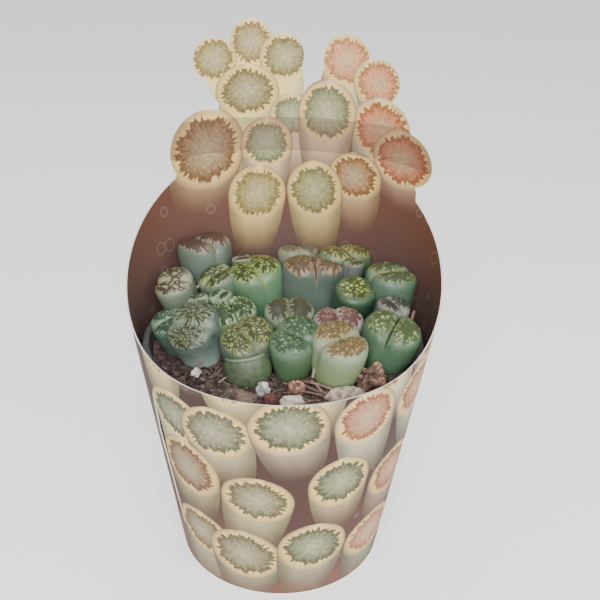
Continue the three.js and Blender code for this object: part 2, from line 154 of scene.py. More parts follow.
# rim, side and foot are the skin's colours from the face's edge down, and the foot's colour is mostly
# painted lighter than the side's to offset the shade low in the pot; window and island are the face's
# dark pattern and its pale specks; span is the window's reach across and along a lobe; fill is the share
# of cells that are pale islands, grain their size in mm and net the dark line left between them; ray is
# how deep the window's edge is toothed; lip is the width in mm of the pale edge along the fissure and of
# the painted highlight streak below its ends, and slit how deep the fissure is and how dark the painted
# shade in it is; from spokeFrom of the way out the islands stand like spokes, and spokes is about how
# many there are round the window.
stoneLooks = {
    "body_back_left": dict(
        rim="8d836f", side="5f6c5f", foot="677468", window="4d3d34", island="6e5d4e",
        span=(0.9, 1.0), fill=0.45, grain=1.7, net=0.3, ray=0.42,
        lip=0.9, slit=0.7, spokeFrom=0.3, spokes=13, slot="leaf_blue"),
    "body_left_pale": dict(
        rim="989679", side="7f8a76", foot="7f9379", window="454030", island="918b6e",
        span=(0.9, 0.95), fill=1.0, grain=1.9, net=0.17, ray=0.4,
        lip=0.8, slit=0.3, spokeFrom=0.7, slot="leaf_pale"),
    "body_left_small": dict(
        rim="758c72", side="536d5d", foot="5c7364", window="314133", island="668063",
        span=(0.86, 0.9), fill=0.7, grain=1.4, net=0.17, ray=0.45,
        lip=1.4, slit=0.3, slot="leaf_blue"),
    # its foot colour is painted much lighter, to offset the shade on its low front
    "body_front_left": dict(
        rim="74826e", side="48534b", foot="c0dacc", window="303622", island="6f7557",
        span=(0.98, 0.84), fill=1.0, grain=1.1, net=0.15, ray=0.5,
        lip=2.4, slit=0.12, spokeFrom=0.3, spokes=24, slot="leaf_blue"),
    "body_left_bud": dict(
        rim="94a787", side="636f5e", foot="677967", window="303d27", island="8c9d7a",
        span=(0.88, 0.9), fill=0.75, grain=1.2, net=0.22, ray=0.42,
        lip=0.8, slit=0.3, spokeFrom=0.2, slot="leaf_green"),
    "body_mottled": dict(
        rim="9ab488", side="61775d", foot="637d63", window="2e3f23", island="738d5e",
        span=(0.98, 0.86), fill=0.65, grain=1.3, net=0.2, ray=0.5,
        lip=1.7, slit=0.9, spokeFrom=0.45, spokes=15, slot="leaf_green"),
    "body_mottled_bud": dict(
        rim="8a9f79", side="6a7a64", foot="6c8169", window="283622", island="74895f",
        span=(0.7, 0.7), fill=0.5, grain=1.2, net=0.22, ray=0.4,
        lip=1.2, slit=0.3, slot="leaf_green"),
    "body_slanted": dict(
        rim="859260", side="697f67", foot="6a7e6a", window="313b1d", island="78824d",
        span=(0.95, 0.95), fill=0.75, grain=1.35, net=0.18, ray=0.45,
        lip=1.0, slit=0.3, spokeFrom=0.45, slot="leaf_green"),
    "body_bright": dict(
        rim="869c5c", side="658363", foot="648b68", window="333e18", island="899655",
        span=(0.92, 0.88), fill=0.8, grain=1.45, net=0.17, ray=0.5,
        lip=1.8, slit=0.15, spokes=15, slot="leaf_green"),
    "body_dark_bud": dict(
        rim="868064", side="5d685a", foot="5c695a", window="24251d", island="706750",
        span=(0.85, 0.85), fill=0.35, grain=1.4, net=0.2, ray=0.42,
        lip=0.8, slit=0.5, slot="leaf_purple"),
    "body_yellow": dict(
        rim="69724f", side="4a5a47", foot="788e72", window="3a4023", island="83854f",
        span=(0.96, 0.94), fill=1.0, grain=1.25, net=0.17, ray=0.45,
        lip=1.6, slit=0.12, spokeFrom=0.6, spokes=19, slot="leaf_green"),
    "body_dark_window": dict(
        rim="808769", side="7f8d74", foot="73886f", window="393b2a", island="50503a",
        span=(0.9, 0.92), fill=0.2, grain=1.7, net=0.3, ray=0.42,
        lip=1.9, slit=0.45, spokeFrom=0.6, slot="leaf_green"),
    "body_front_middle": dict(
        rim="4e6449", side="5c745b", foot="688b60", window="2f442a", island="638159",
        span=(0.92, 0.86), fill=0.9, grain=1.25, net=0.2, ray=0.42,
        lip=1.1, slit=0.15, spokeFrom=0.6, slot="leaf_green"),
    "body_front_right": dict(
        rim="8d8b67", side="849377", foot="a0b580", window="5f4f30", island="948053",
        span=(0.9, 0.92), fill=0.95, grain=1.1, net=0.17, ray=0.24,
        lip=1.1, slit=0.12, spokeFrom=0.7, slot="leaf_pale"),
    "body_purple": dict(
        rim="ad9e91", side="86887f", foot="80857f", window="583833", island="927468",
        span=(0.92, 0.9), fill=0.7, grain=1.6, net=0.22, ray=0.45,
        lip=1.2, slit=0.4, spokeFrom=0.1, spokes=16, slot="leaf_purple"),
    "body_right": dict(
        rim="697859", side="496148", foot="709a78", window="3f502a", island="939e6f",
        span=(0.88, 0.86), fill=0.75, grain=1.6, net=0.17, ray=0.5,
        lip=0.9, slit=1.0, spokeFrom=0.7, slot="leaf_green"),
    "body_grey_bud": dict(
        rim="7d7d71", side="78796f", foot="70726d", window="31312a", island="6c6a5d",
        span=(0.88, 0.9), fill=0.6, grain=1.3, net=0.2, ray=0.42,
        lip=1.2, slit=0.3, spokeFrom=0.3, slot="leaf_purple"),
    "body_lime": dict(
        rim="52643e", side="3d5640", foot="46674c", window="334017", island="929d54",
        span=(1.3, 0.75), fill=0.82, grain=1.45, net=0.17, ray=0.36,
        lip=0.6, slit=0.0, groove=0.12, spokeFrom=0.55, slot="leaf_green"),
    "body_tallest": dict(
        rim="9c8068", side="515e53", foot="6c7c70", window="504330", island="8c6d55",
        span=(0.96, 1.0), fill=0.9, grain=1.5, net=0.24, ray=0.42,
        lip=0.9, slit=1.0, spokeFrom=0.35, slot="leaf_blue"),
    "body_behind": dict(
        rim="8c8871", side="7e7d67", foot="6a7467", window="565243", island="736f58",
        span=(0.9, 0.9), fill=0.5, grain=1.6, net=0.3, ray=0.3,
        lip=1.2, slit=0.2, slot="leaf_blue"),
    "body_back_right": dict(
        rim="92905d", side="576e4e", foot="5c775c", window="494928", island="88844c",
        span=(0.95, 0.95), fill=0.8, grain=1.4, net=0.18, ray=0.42,
        lip=0.9, slit=0.5, slot="leaf_green"),
    "body_back_bud": dict(
        rim="787e5f", side="5d6460", foot="5d6c68", window="3c4027", island="6d6f4f",
        span=(0.9, 0.9), fill=0.4, grain=1.3, net=0.2, ray=0.4,
        lip=0.9, slit=0.4, slot="leaf_blue"),
    "body_far_right": dict(
        rim="778157", side="506954", foot="55725f", window="3e4b2f", island="7e8558",
        span=(0.92, 0.94), fill=0.6, grain=1.5, net=0.22, ray=0.42,
        lip=1.6, slit=0.15, spokes=15, slot="leaf_green"),
}
# what most of them share; a groove near 0 makes one dome of the two lobes
stoneUsual = {"groove": 1, "spokeFrom": 0.5, "spokes": 17}

stoneSkin = {
    "segments": 112, "rings": 56,
    "crowd": 0.86,            # how far the segments crowd towards the fissure
    "shoulder": 0.5,          # height of the rounded top, as a share of the half width
    "faceFlat": 0.62,         # 1 gives a round top, less a flatter one
    "footTaper": 0.46, "footZ": 60,
    "bend": 0.45,             # how far down the body bends towards its root, as a share of its height
    "valleyDepth": 0.09, "valleyHalf": 1.6,      # the dip between the lobes
    "slitDepth": 1.1, "slitHalf": 0.28,          # the crack itself, mm
    "endNotch": 0.09,         # the fissure's notch at its ends, as a share of the half length
    "lobeCrown": 0.05,        # how far each lobe's face swells, as a share of its width
    "wobble": 0.16, "wobbleScale": 0.16,         # uneven growth in mm, and how many lumps to a mm
}


# a point of the skin in mm, and its place on the unrolled skin: across the fissure, along it and down
def stonePoint(form, look, across, along, up):
    top, lean, root, half, fissure = form
    skin = stoneSkin
    reach = math.hypot(across, along)
    squared = reach ** (skin["faceFlat"] - 1) if reach > 1e-6 else 0
    cap = skin["shoulder"] * half[1]
    down = max(-up, 0) ** 0.9
    taper = 1 - skin["footTaper"] * down ** 1.5
    x = across * squared * half[1] * taper
    nearTop = smoothStep(-0.5, 0.1, up)
    nearFace = smoothStep(-0.12, 0.35, up)
    valley = math.exp(-(x / skin["valleyHalf"]) ** 2)
    cleft = math.exp(-(x / skin["slitHalf"]) ** 2)
    y = along * squared * half[0] * taper * (1 - skin["endNotch"] * valley * nearTop)
    height = cap * (max(up, 0) ** skin["faceFlat"] - 1)
    dip = skin["valleyDepth"] * half[1] * valley + look["slit"] * skin["slitDepth"] * cleft
    height -= look["groove"] * nearFace * dip
    crown = max(1 - (2 * abs(x) / half[1] - 1) ** 2, 0) * max(1 - (y / half[0]) ** 2, 0)
    height += skin["lobeCrown"] * half[1] * crown * nearFace

    axis = Vector((lean[0], lean[1], 1)).normalized()
    alongAxis = Vector((math.cos(math.radians(fissure)), math.sin(math.radians(fissure)), 0))
    alongAxis = (alongAxis - axis * alongAxis.dot(axis)).normalized()
    acrossAxis = axis.cross(alongAxis)
    summit = Vector(top)
    base = Vector((root[0], root[1], skin["footZ"]))
    neck = summit - axis * cap
    bend = summit - axis * (cap + skin["bend"] * (summit - base).length)
    spine = neck * (1 - down) ** 2 + bend * 2 * down * (1 - down) + base * down ** 2
    place = spine + axis * (cap + height) + acrossAxis * x + alongAxis * y

    # distance over the skin from the middle of the face, kept as two lengths
    drop = cap * (1 - max(up, 0) ** skin["faceFlat"]) + (summit - base).length * down
    stretch = 1 + drop / max(reach ** skin["faceFlat"] * half[1], 0.5)
    return place, (abs(across * squared * half[1]) * stretch, along * squared * half[0] * stretch, drop)


plantTrees = []     # the finished bodies in mm, so that loose bits keep clear of them


def makeStone(name):
    form = stoneForms[name]
    look = {**stoneUsual, **stoneLooks[name]}
    skin = stoneSkin
    bm = bmesh.new()
    bmesh.ops.create_uvsphere(bm, u_segments=skin["segments"], v_segments=skin["rings"], radius=1)
    facePlace = bm.verts.layers.float_vector.new("facePlace")
    seed = Vector(form[0])
    for vert in bm.verts:      # the sphere's poles are the ends of the fissure
        ringRadius = math.hypot(vert.co.x, vert.co.y)
        turn = math.atan2(vert.co.y, vert.co.x)
        turn -= skin["crowd"] * math.sin(turn)
        across, up = ringRadius * math.sin(turn), ringRadius * math.cos(turn)
        place, spot = stonePoint(form, look, across, vert.co.z, up)
        place += noise.noise_vector(place * skin["wobbleScale"] + seed) * skin["wobble"]
        vert[facePlace] = spot
        vert.co = place * mm
    bmesh.ops.remove_doubles(bm, verts=bm.verts, dist=1e-7)
    bmesh.ops.recalc_face_normals(bm, faces=bm.faces)
    shape = bm.copy()
    bmesh.ops.transform(shape, matrix=Matrix.Scale(1 / mm, 4), verts=shape.verts)
    plantTrees.append(BVHTree.FromBMesh(shape))
    shape.free()
    skinMaterial = succulentSkin(name, look, form[3])
    finishPiece(bm, name.replace("body_", "stone_"), [skinMaterial], [name])


leafPattern = {     # sizes in mm
    "drift": 6.667,               # stretches of the window's edge that have like teeth
    "fray": 0.6667,               # fine raggedness of that edge
    "bend": 1.25, "bendBy": 0.7,  # waves in the lines between the islands, and how far they go
    "wave": 1.111,                # waves in the spokes
    "blotch": 3.846,              # uneven colour of the skin
    "skinRun": 16,                # over which the skin goes from its rim's colour to its foot's
    "dots": 0.3571,               # fine dots under the skin
}


# The window of a lobe: a mask with its point's distance from the window's middle, 1 at the edge, and its
# direction. Folded noise that changes fast round the window and slowly outwards gives teeth with tips.
def leafWindow(tree, look, half, objectSpot, across, along):
    lobeMiddle = 0.5 * half[1] * look["groove"]    # one dome has its window in the middle
    u = addNode(tree, "Math", {0: across, 1: -lobeMiddle}, operation="ADD").outputs[0]
    u = addNode(tree, "Math", {0: u, 1: 0.5 * half[1] * look["span"][0]}, operation="DIVIDE").outputs[0]
    v = addNode(tree, "Math", {0: along, 1: half[0] * look["span"][1]}, operation="DIVIDE").outputs[0]
    flat = addNode(tree, "CombineXYZ", {0: u, 1: v}).outputs[0]
    distance = addNode(tree, "VectorMath", {0: flat}, operation="LENGTH").outputs["Value"]
    bearing = addNode(tree, "VectorMath", {0: flat}, operation="NORMALIZE").outputs["Vector"]
    drift = addNode(tree, "TexNoise", {"Vector": objectSpot, "Scale": 1000 / leafPattern["drift"],
                                       "Detail": 0.0}).outputs["Fac"]
    teeth = addNode(tree, "TexNoise", {"Vector": bearing, "W": drift, "Scale": 4.4, "Detail": 1.0},
                    noise_dimensions="4D").outputs["Fac"]
    fold = addNode(tree, "Math", {0: teeth, 1: 2.0, 2: -1.0}, operation="MULTIPLY_ADD").outputs[0]
    fold = addNode(tree, "Math", {0: fold}, operation="ABSOLUTE").outputs[0]
    limit = addNode(tree, "MapRange", {"Value": fold, "From Min": 0.0, "From Max": 0.3,
                                       "To Min": 1.0 + 0.45 * look["ray"],
                                       "To Max": 1.0 - 0.65 * look["ray"]}).outputs["Result"]
    fray = addNode(tree, "TexNoise", {"Vector": objectSpot, "Scale": 1000 / leafPattern["fray"],
                                      "Detail": 1.0}).outputs["Fac"]
    fray = addNode(tree, "Math", {0: fray, 1: 0.3, 2: -0.15}, operation="MULTIPLY_ADD").outputs[0]
    edge = addNode(tree, "Math", {0: distance, 1: fray}, operation="ADD").outputs[0]
    edge = addNode(tree, "Math", {0: limit, 1: edge}, operation="SUBTRACT").outputs[0]
    window = addNode(tree, "MapRange", {"Value": edge, "From Min": -0.03, "From Max": 0.05}).outputs["Result"]
    return window, distance, bearing, drift


# The islands: pale cells in the window with a dark network between them, standing like spokes further out.
def leafIslands(tree, look, objectSpot, window, distance, bearing, drift):
    bendBy = leafPattern["bendBy"] * mm
    bent = addNode(tree, "TexNoise", {"Vector": objectSpot, "Scale": 1000 / leafPattern["bend"],
                                      "Detail": 1.0}).outputs["Color"]
    bent = addNode(tree, "VectorMath", {0: bent, 1: (bendBy, bendBy, bendBy), 2: objectSpot},
                   operation="MULTIPLY_ADD").outputs["Vector"]
    cellScale = 1000 / look["grain"]
    cells = addNode(tree, "TexVoronoi", {"Vector": bent, "Scale": cellScale})
    lines = addNode(tree, "TexVoronoi", {"Vector": bent, "Scale": cellScale}, feature="DISTANCE_TO_EDGE")

    spokes = addNode(tree, "VectorMath", {0: bearing, "Scale": look["spokes"] / (2 * math.pi)},
                     operation="SCALE").outputs["Vector"]
    outwards = addNode(tree, "Math", {0: distance, 1: 1.5, 2: drift}, operation="MULTIPLY_ADD").outputs[0]
    outwards = addNode(tree, "CombineXYZ", {2: outwards}).outputs[0]
    spokes = addNode(tree, "VectorMath", {0: spokes, 1: outwards}, operation="ADD").outputs["Vector"]
    wavy = addNode(tree, "TexNoise", {"Vector": objectSpot, "Scale": 1000 / leafPattern["wave"],
                                      "Detail": 1.0}).outputs["Color"]
    spokes = addNode(tree, "VectorMath", {0: wavy, 1: (0.55, 0.55, 0.55), 2: spokes},
                     operation="MULTIPLY_ADD").outputs["Vector"]
    spokeCells = addNode(tree, "TexVoronoi", {"Vector": spokes, "Scale": 1.0})
    spokeLines = addNode(tree, "TexVoronoi", {"Vector": spokes, "Scale": 1.0}, feature="DISTANCE_TO_EDGE")

    outer = addNode(tree, "MapRange", {"Value": distance, "From Min": look["spokeFrom"],
                                       "From Max": look["spokeFrom"] + 0.12}).outputs["Result"]
    lineGap = addNode(tree, "Mix", {"Factor": outer, 2: lines.outputs["Distance"],
                                    3: spokeLines.outputs["Distance"]}).outputs[0]
    cellColour = addNode(tree, "Mix", {"Factor": outer, 6: cells.outputs["Color"],
                                       7: spokeCells.outputs["Color"]}, data_type="RGBA").outputs[2]
    island = addNode(tree, "MapRange", {"Value": lineGap, "From Min": look["net"] - 0.05,
                                        "From Max": look["net"] + 0.06}).outputs["Result"]
    chosen = addNode(tree, "SeparateXYZ", {0: cellColour}).outputs[0]
    chosen = addNode(tree, "Math", {0: chosen, 1: look["fill"]}, operation="LESS_THAN").outputs[0]
    island = addNode(tree, "Math", {0: island, 1: chosen}, operation="MULTIPLY").outputs[0]
    return addNode(tree, "Math", {0: island, 1: window}, operation="MULTIPLY").outputs[0]


# The skin from the face's rim down to the foot, with a pale margin round the window and pale lips along
# the fissure; below each end of it they run on a short way as a painted highlight streak.
def leafFlesh(tree, look, objectSpot, distance, across, drop):
    blotch = addNode(tree, "TexNoise", {"Vector": objectSpot, "Scale": 1000 / leafPattern["blotch"],
                                        "Detail": 3.0}).outputs["Fac"]
    level = addNode(tree, "Math", {0: blotch, 1: 3.0, 2: drop}, operation="MULTIPLY_ADD").outputs[0]
    level = addNode(tree, "Math", {0: level, 1: 1 / leafPattern["skinRun"]}, operation="MULTIPLY").outputs[0]
    flesh = addNode(tree, "ValToRGB", {0: level})
    stops = flesh.color_ramp.elements
    stops[0].position = 0.07
    stops[0].color = linear(look["rim"])
    # the foot's colour, mostly painted lighter than the side's to offset the shade low in the pot
    stops[1].position = 1.0
    stops[1].color = linear(look["foot"])
    stops.new(0.2).color = linear(look["side"])
    margin = addNode(tree, "MapRange", {"Value": distance, "From Min": 1.0, "From Max": 1.16,
                                        "To Min": 0.85, "To Max": 0.0}).outputs["Result"]
    colour = addNode(tree, "Mix", {"Factor": margin, 6: flesh.outputs["Color"], 7: linear(look["rim"])},
                     data_type="RGBA").outputs[2]
    # pale lips along the fissure, which go on below its ends as a painted highlight streak
    lipsAndStreak = addNode(tree, "MapRange", {"Value": across, "From Min": 0.45 * look["lip"],
                                      "From Max": look["lip"], "To Min": 0.55,
                                      "To Max": 0.0}).outputs["Result"]
    streakReach = addNode(tree, "MapRange", {"Value": drop, "From Min": 3.5, "From Max": 7.5,
                                           "To Min": 1.0, "To Max": 0.0}).outputs["Result"]
    lipsAndStreak = addNode(tree, "Math", {0: lipsAndStreak, 1: streakReach}, operation="MULTIPLY").outputs[0]
    return addNode(tree, "Mix", {"Factor": lipsAndStreak, 6: colour, 7: linear(look["rim"])},
                   data_type="RGBA").outputs[2]


# Living succulent leaf: a thick waxy skin over watery flesh, so broad soft highlights and a little
# light carried under the surface. The face is a clear window with opaque islands and a ragged edge.
def succulentSkin(name, look, half):
    material, tree, shader = addMaterial("succulentLeaf_" + name, Roughness=0.42, IOR=1.42,
                                         Subsurface_Weight=0.1, Subsurface_Scale=0.0012, Coat_Weight=0.16,
                                         Coat_Roughness=0.2)
    shader.inputs["Subsurface Radius"].default_value = (0.7, 1.0, 0.45)
    objectSpot = addNode(tree, "TexCoord").outputs["Object"]
    facePlace = addNode(tree, "Attribute", attribute_name="facePlace").outputs["Vector"]
    across, along, drop = addNode(tree, "SeparateXYZ", {0: facePlace}).outputs
    window, distance, bearing, drift = leafWindow(tree, look, half, objectSpot, across, along)
    island = leafIslands(tree, look, objectSpot, window, distance, bearing, drift)
    flesh = leafFlesh(tree, look, objectSpot, distance, across, drop)
    colour = addNode(tree, "Mix", {"Factor": window, 6: flesh, 7: linear(look["window"])},
                     data_type="RGBA").outputs[2]
    colour = addNode(tree, "Mix", {"Factor": island, 6: colour, 7: linear(look["island"])},
                     data_type="RGBA").outputs[2]

    # painted shade in the crack between the lobes, fading out a little below the face
    crackShade = addNode(tree, "MapRange", {"Value": across, "From Min": 0.06, "From Max": 0.26,
                                       "To Min": 0.9 * look["slit"], "To Max": 0.0}).outputs["Result"]
    crackShadeEnd = addNode(tree, "MapRange", {"Value": drop, "From Min": 2.0, "From Max": 3.5,
                                          "To Min": 1.0, "To Max": 0.0}).outputs["Result"]
    crackShade = addNode(tree, "Math", {0: crackShade, 1: crackShadeEnd}, operation="MULTIPLY").outputs[0]
    colour = addNode(tree, "Mix", {"Factor": crackShade, 6: colour, 7: linear("2c3325")},
                     data_type="RGBA").outputs[2]

    dots = addNode(tree, "TexNoise", {"Vector": objectSpot, "Scale": 1000 / leafPattern["dots"],
                                      "Detail": 2.0}).outputs["Fac"]
    dotted = addNode(tree, "MapRange", {"Value": dots, "From Min": 0.3, "From Max": 0.7,
                                        "To Min": 0.88, "To Max": 1.1}).outputs["Result"]
    colour = addNode(tree, "Mix", {"Factor": 1.0, 6: colour, 7: dotted}, data_type="RGBA",
                     blend_type="MULTIPLY").outputs[2]
    tree.links.new(colour, shader.inputs["Base Color"])
    relief = addNode(tree, "Math", {0: window, 1: -0.6, 2: dots}, operation="MULTIPLY_ADD").outputs[0]
    bump = addNode(tree, "Bump", {"Height": relief, "Strength": 0.25, "Distance": 0.00012})
    tree.links.new(bump.outputs["Normal"], shader.inputs["Normal"])
    gloss = addNode(tree, "MapRange", {"Value": window, "To Min": 0.46, "To Max": 0.42}).outputs["Result"]
    tree.links.new(gloss, shader.inputs["Roughness"])
    return material


for bodyName in stoneForms:
    makeStone(bodyName)
print("living stones made:", len(stoneForms))


sleeveForm = {
    "footRadius": 33, "slope": 0.16, "card": 0.45, "footZ": 0.4,    # mm
    "frontZ": 76.2, "backZ": 116,
    "seam": -64,                # bearing where the flat sheet's ends meet, degrees from the front
    "flatRadius": 45,           # mm of flat sheet to a radian
    "gridTurn": 2.5, "gridRise": 5, "gridTop": 172, "webStep": 1.5, "lobeSides": 56,
    "slotBearing": -58, "slotWidth": 0.9, "slotLow": 15.5, "slotHigh": 66,
    "lipLift": 0.75, "lipReach": 5, "lipEase": 4,
}
# lobes of the crest: across, height, half width, half height in mm, turn in degrees
crestLobes = [
    (-27.6, 120.6, 11.2, 12.6, 8), (-25.7, 149, 6.3, 6.6, 0), (-20, 142, 7.2, 12, 28),
    (-13.6, 154, 7, 7.4, 0), (-3, 149.5, 7.2, 7.4, -8), (-2.5, 141, 6.8, 11, 0), (-12, 134, 12, 15, 0),
    (12, 131, 9.6, 11.5, 0), (18.4, 149.2, 7.6, 8, 0), (18, 141, 8, 10, 0), (28.8, 143, 6.8, 7.2, -20),
    (24, 137, 8.6, 10, 30), (30.5, 128.6, 9, 9.4, 0), (37.3, 120.6, 8.4, 8.6, 0),
]
# the card between and below the lobes: across and height of its corners
crestWeb = [(-37.4, 100), (-37.4, 113.2), (-30, 128), (0, 137), (10, 138), (24, 136), (36, 126),
            (41.8, 112), (41.8, 100)]
# printed pebbles of the crest, hindmost first: across, height, half width, half height, length of
# the body below, turn, body colour, cap colour
crestPebbles = [
    (-13.6, 154, 7.6, 8, 36, 0, "edd790", "8f7a4c"), (18.4, 149.2, 8.6, 8.6, 34, 0, "d2c28e", "bf835c"),
    (-2.2, 149.5, 8.6, 8, 38, -3, "decf8b", "85784a"), (-25.7, 149, 7.4, 7.4, 34, 14, "e8d390", "917e4e"),
    (28.8, 143, 8, 7.9, 32, -16, "d3c392", "bd7c55"), (-14.5, 138.5, 10.6, 8.6, 38, 4, "dbcb8b", "7d7044"),
    (0.4, 130.6, 7.6, 7.2, 26, -4, "d3b690", "7f7f5c"), (30.5, 128.6, 10, 10, 24, 0, "cebda0", "b36e45"),
    (12.6, 132.2, 9.9, 10.2, 27, 4, "d0b58f", "7a7955"), (37.3, 120.6, 9, 9.2, 18, -8, "bc947c", "a76544"),
    (-27.6, 120.6, 12, 13.2, 24, 8, "b59572", "80603c"), (-8, 121.5, 9, 8.4, 24, 0, "cdb08c", "777a57"),
    (22.5, 112, 9, 8, 22, -4, "b4916f", "8d633c"),
]
# the pebbles on the inside only, below the crest
innerPebbles = [
    (-11, 104.5, 10, 9.6, 24, 3, "d5b87c", "928148"), (9, 106, 9.8, 9.8, 26, -4, "ccb379", "807c4b"),
]
# the outside has rows of pebbles all round
pebbleRows = {
    "rises": [101, 84, 66, 43, 18], "pitch": 22.5, "jitter": 3,
    "wide": (9.6, 12.2), "high": (8.2, 10.4), "long": (22, 29), "tilt": 14, "seed": 20,
    "bodies": ["c9bd98", "bba984", "a8917a", "c2af85", "ac9981"],
    "caps": ["6d6449", "776146", "5f6047", "7a5a40", "68654d"],
    "blushBodies": ["b3ab92", "b79a80"], "blushCaps": ["a5705a", "9a654c"],
    "blushFrom": 30, "blushTo": 110, "blushShare": 0.75,      # the bearings where pink pebbles stand
    "seamRoom": 1.3, "seamTilt": 0.3,         # beside the seam: half widths kept clear, share of the tilt
}
# points round a pebble, and how its body's sides round off, narrow and end in a sack
pebbleForm = {"points": 40, "shoulder": 0.6, "taper": 0.2, "sack": 1.3}


def sleeveRadius(z):
    return sleeveForm["footRadius"] + sleeveForm["slope"] * z


# the rim seen from the side: depth and height of the curve from the low front up to the level back
rimHandles = [Vector((-47, sleeveForm["frontZ"], 0)), Vector((-20, sleeveForm["frontZ"] + 1, 0)),
              Vector((-12, 86, 0)), Vector((36, sleeveForm["backZ"] - 2.5, 0))]
rimCurve = [(p.x, p.y) for p in geometry.interpolate_bezier(*rimHandles, 60)]
rimCurve += [(38, sleeveForm["backZ"]), (99, sleeveForm["backZ"])]


# the rim's height at a bearing; the cone's radius there depends on it, so a few rounds settle both
def rimHeight(bearing):
    z = sleeveForm["frontZ"]
    for _ in range(10):
        y = max(-sleeveRadius(z) * math.cos(math.radians(bearing)), rimCurve[0][0])
        span = next(k for k in range(1, len(rimCurve)) if rimCurve[k][0] >= y)
        (y0, z0), (y1, z1) = rimCurve[span - 1], rimCurve[span]
        z = z0 + (z1 - z0) * (y - y0) / (y1 - y0)
    return z


# a place of the cone on the flat sheet, which starts at the seam
def toFlat(bearing, z):
    return Vector((math.radians(bearing - sleeveForm["seam"]) * sleeveForm["flatRadius"], z))


# the bearing of a point on the back of the cone, given how far across it is
def backBearing(x, z):
    return 180 - math.degrees(math.asin(max(-1, min(1, x / sleeveRadius(z)))))


# points along a straight line, without its end
def splitLine(a, b, step):
    count = max(1, round((Vector(b) - Vector(a)).length / step))
    return [Vector(a).lerp(Vector(b), k / count) for k in range(count)]


# mm points of one printed pebble round its own middle: an oval cap over a sack-shaped body
def pebbleOutline(pebble):
    form = pebbleForm
    wide, high, long = pebble["wide"], pebble["high"], pebble["long"]
    points = []
    for k in range(form["points"]):
        turn = 2 * math.pi * k / form["points"]
        c, s = math.cos(turn), math.sin(turn)
        if s >= 0:
            points.append((wide * c, high * s))
        else:
            across = math.copysign(wide * abs(c) ** form["shoulder"], c) * (1 - form["taper"] * s * s)
            points.append((across, -long * abs(s) ** form["sack"]))
    return points


# the pebble's outline on the flat sheet
def pebbleFlat(pebble):
    lean = math.radians(pebble["lean"])
    loop = []
    for x, y in pebbleOutline(pebble):
        side = x * math.cos(lean) - y * math.sin(lean)
        rise = x * math.sin(lean) + y * math.cos(lean)
        z = pebble["z"] + rise
        if "x" in pebble:
            bearing = backBearing(pebble["x"] + side, z)
        else:
            bearing = pebble["bearing"] + math.degrees(side / sleeveRadius(z))
        loop.append(toFlat(bearing, z))
    return loop


# a place of the cone as its pebble sees it: across and up as shares of the cap, across as a share of the
# body's half width there, and how far down the body
def pebbleLocal(pebble, bearing, z):
    lean = math.radians(pebble["lean"])
    if "x" in pebble:       # the crest's pebbles are laid out as the front sees them
        side = sleeveRadius(z) * math.sin(math.radians(bearing)) - pebble["x"]
    else:
        side = math.radians((bearing - pebble["bearing"] + 180) % 360 - 180) * sleeveRadius(z)
    rise = z - pebble["z"]
    x = side * math.cos(lean) + rise * math.sin(lean)
    y = -side * math.sin(lean) + rise * math.cos(lean)
    down = min(max(-y / pebble["long"], 0), 1)
    if y > 0:
        halfWidth = pebble["wide"] * max(1 - (y / pebble["high"]) ** 2, 0.02) ** 0.5
    else:
        halfWidth = pebble["wide"] * (1 - pebbleForm["taper"] * down) * max(1 - down ** 3, 0.05) ** 0.5
    return x / pebble["wide"], y / pebble["high"], x / halfWidth, down


# the pebbles of the crest, of the inside and of the outside
def makePebbles():
    crest, inner, outer = [], [], []
    for group, rows in ((crest, crestPebbles), (inner, innerPebbles)):
        for x, z, wide, high, long, lean, body, cap in rows:
            group.append(dict(x=x, z=z, wide=wide, high=high, long=long, lean=-lean, body=linear(body),
                              cap=linear(cap)))
    rule = pebbleRows
    for row, rise in enumerate(rule["rises"]):
        draw = random.Random(rule["seed"] + row)
        radius = sleeveRadius(rise)
        count = round(2 * math.pi * radius / rule["pitch"])
        for k in range(count):
            bearing = sleeveForm["seam"] + 360 * (k + 0.5) / count
            # rows are shifted in turn, and less beside the seam
            bearing += (1 if row % 2 else -1) * 90 / count * smoothStep(0, 1.5, min(k, count - 1 - k))
            wide = draw.uniform(*rule["wide"])
            clear = math.degrees(rule["seamRoom"] * wide / radius)
            bearing = min(max(bearing, sleeveForm["seam"] + clear), sleeveForm["seam"] + 360 - clear)
            blush = rule["blushFrom"] < bearing < rule["blushTo"] and draw.random() < rule["blushShare"]
            steady = rule["seamTilt"] if k in (0, count - 1) else 1
            outer.append(dict(
                bearing=bearing, z=rise + draw.uniform(-1, 1) * rule["jitter"], wide=wide,
                high=draw.uniform(*rule["high"]), long=draw.uniform(*rule["long"]),
                lean=draw.uniform(-1, 1) * rule["tilt"] * steady,
                body=linear(draw.choice(rule["blushBodies" if blush else "bodies"])),
                cap=linear(draw.choice(rule["blushCaps" if blush else "caps"]))))
    return crest, inner, outer


# the panel of the flat sheet, without its crest
def panelLoop():
    form = sleeveForm
    steps = int(2 * 360 / form["gridTurn"])
    turns = [form["seam"] + form["gridTurn"] * k / 2 for k in range(steps + 1)]
    foot = [toFlat(turn, form["footZ"]) for turn in turns]
    rim = [toFlat(turn, rimHeight(turn)) for turn in reversed(turns)]
    rightEnd = splitLine(foot[-1], rim[0], form["gridRise"])[1:]
    leftEnd = [Vector((0, p.y)) for p in reversed(rightEnd)]
    return foot + rightEnd + rim + leftEnd


# the outline of one lobe of the crest on the flat sheet
def lobeLoop(x, z, wide, high, turn):
    c, s = math.cos(math.radians(turn)), math.sin(math.radians(turn))
    loop = []
    for k in range(sleeveForm["lobeSides"]):
        angle = 2 * math.pi * k / sleeveForm["lobeSides"]
        a, b = wide * math.cos(angle), high * math.sin(angle)
        spot = (x + a * c - b * s, z + a * s + b * c)
        loop.append(toFlat(backBearing(*spot), spot[1]))
    return loop


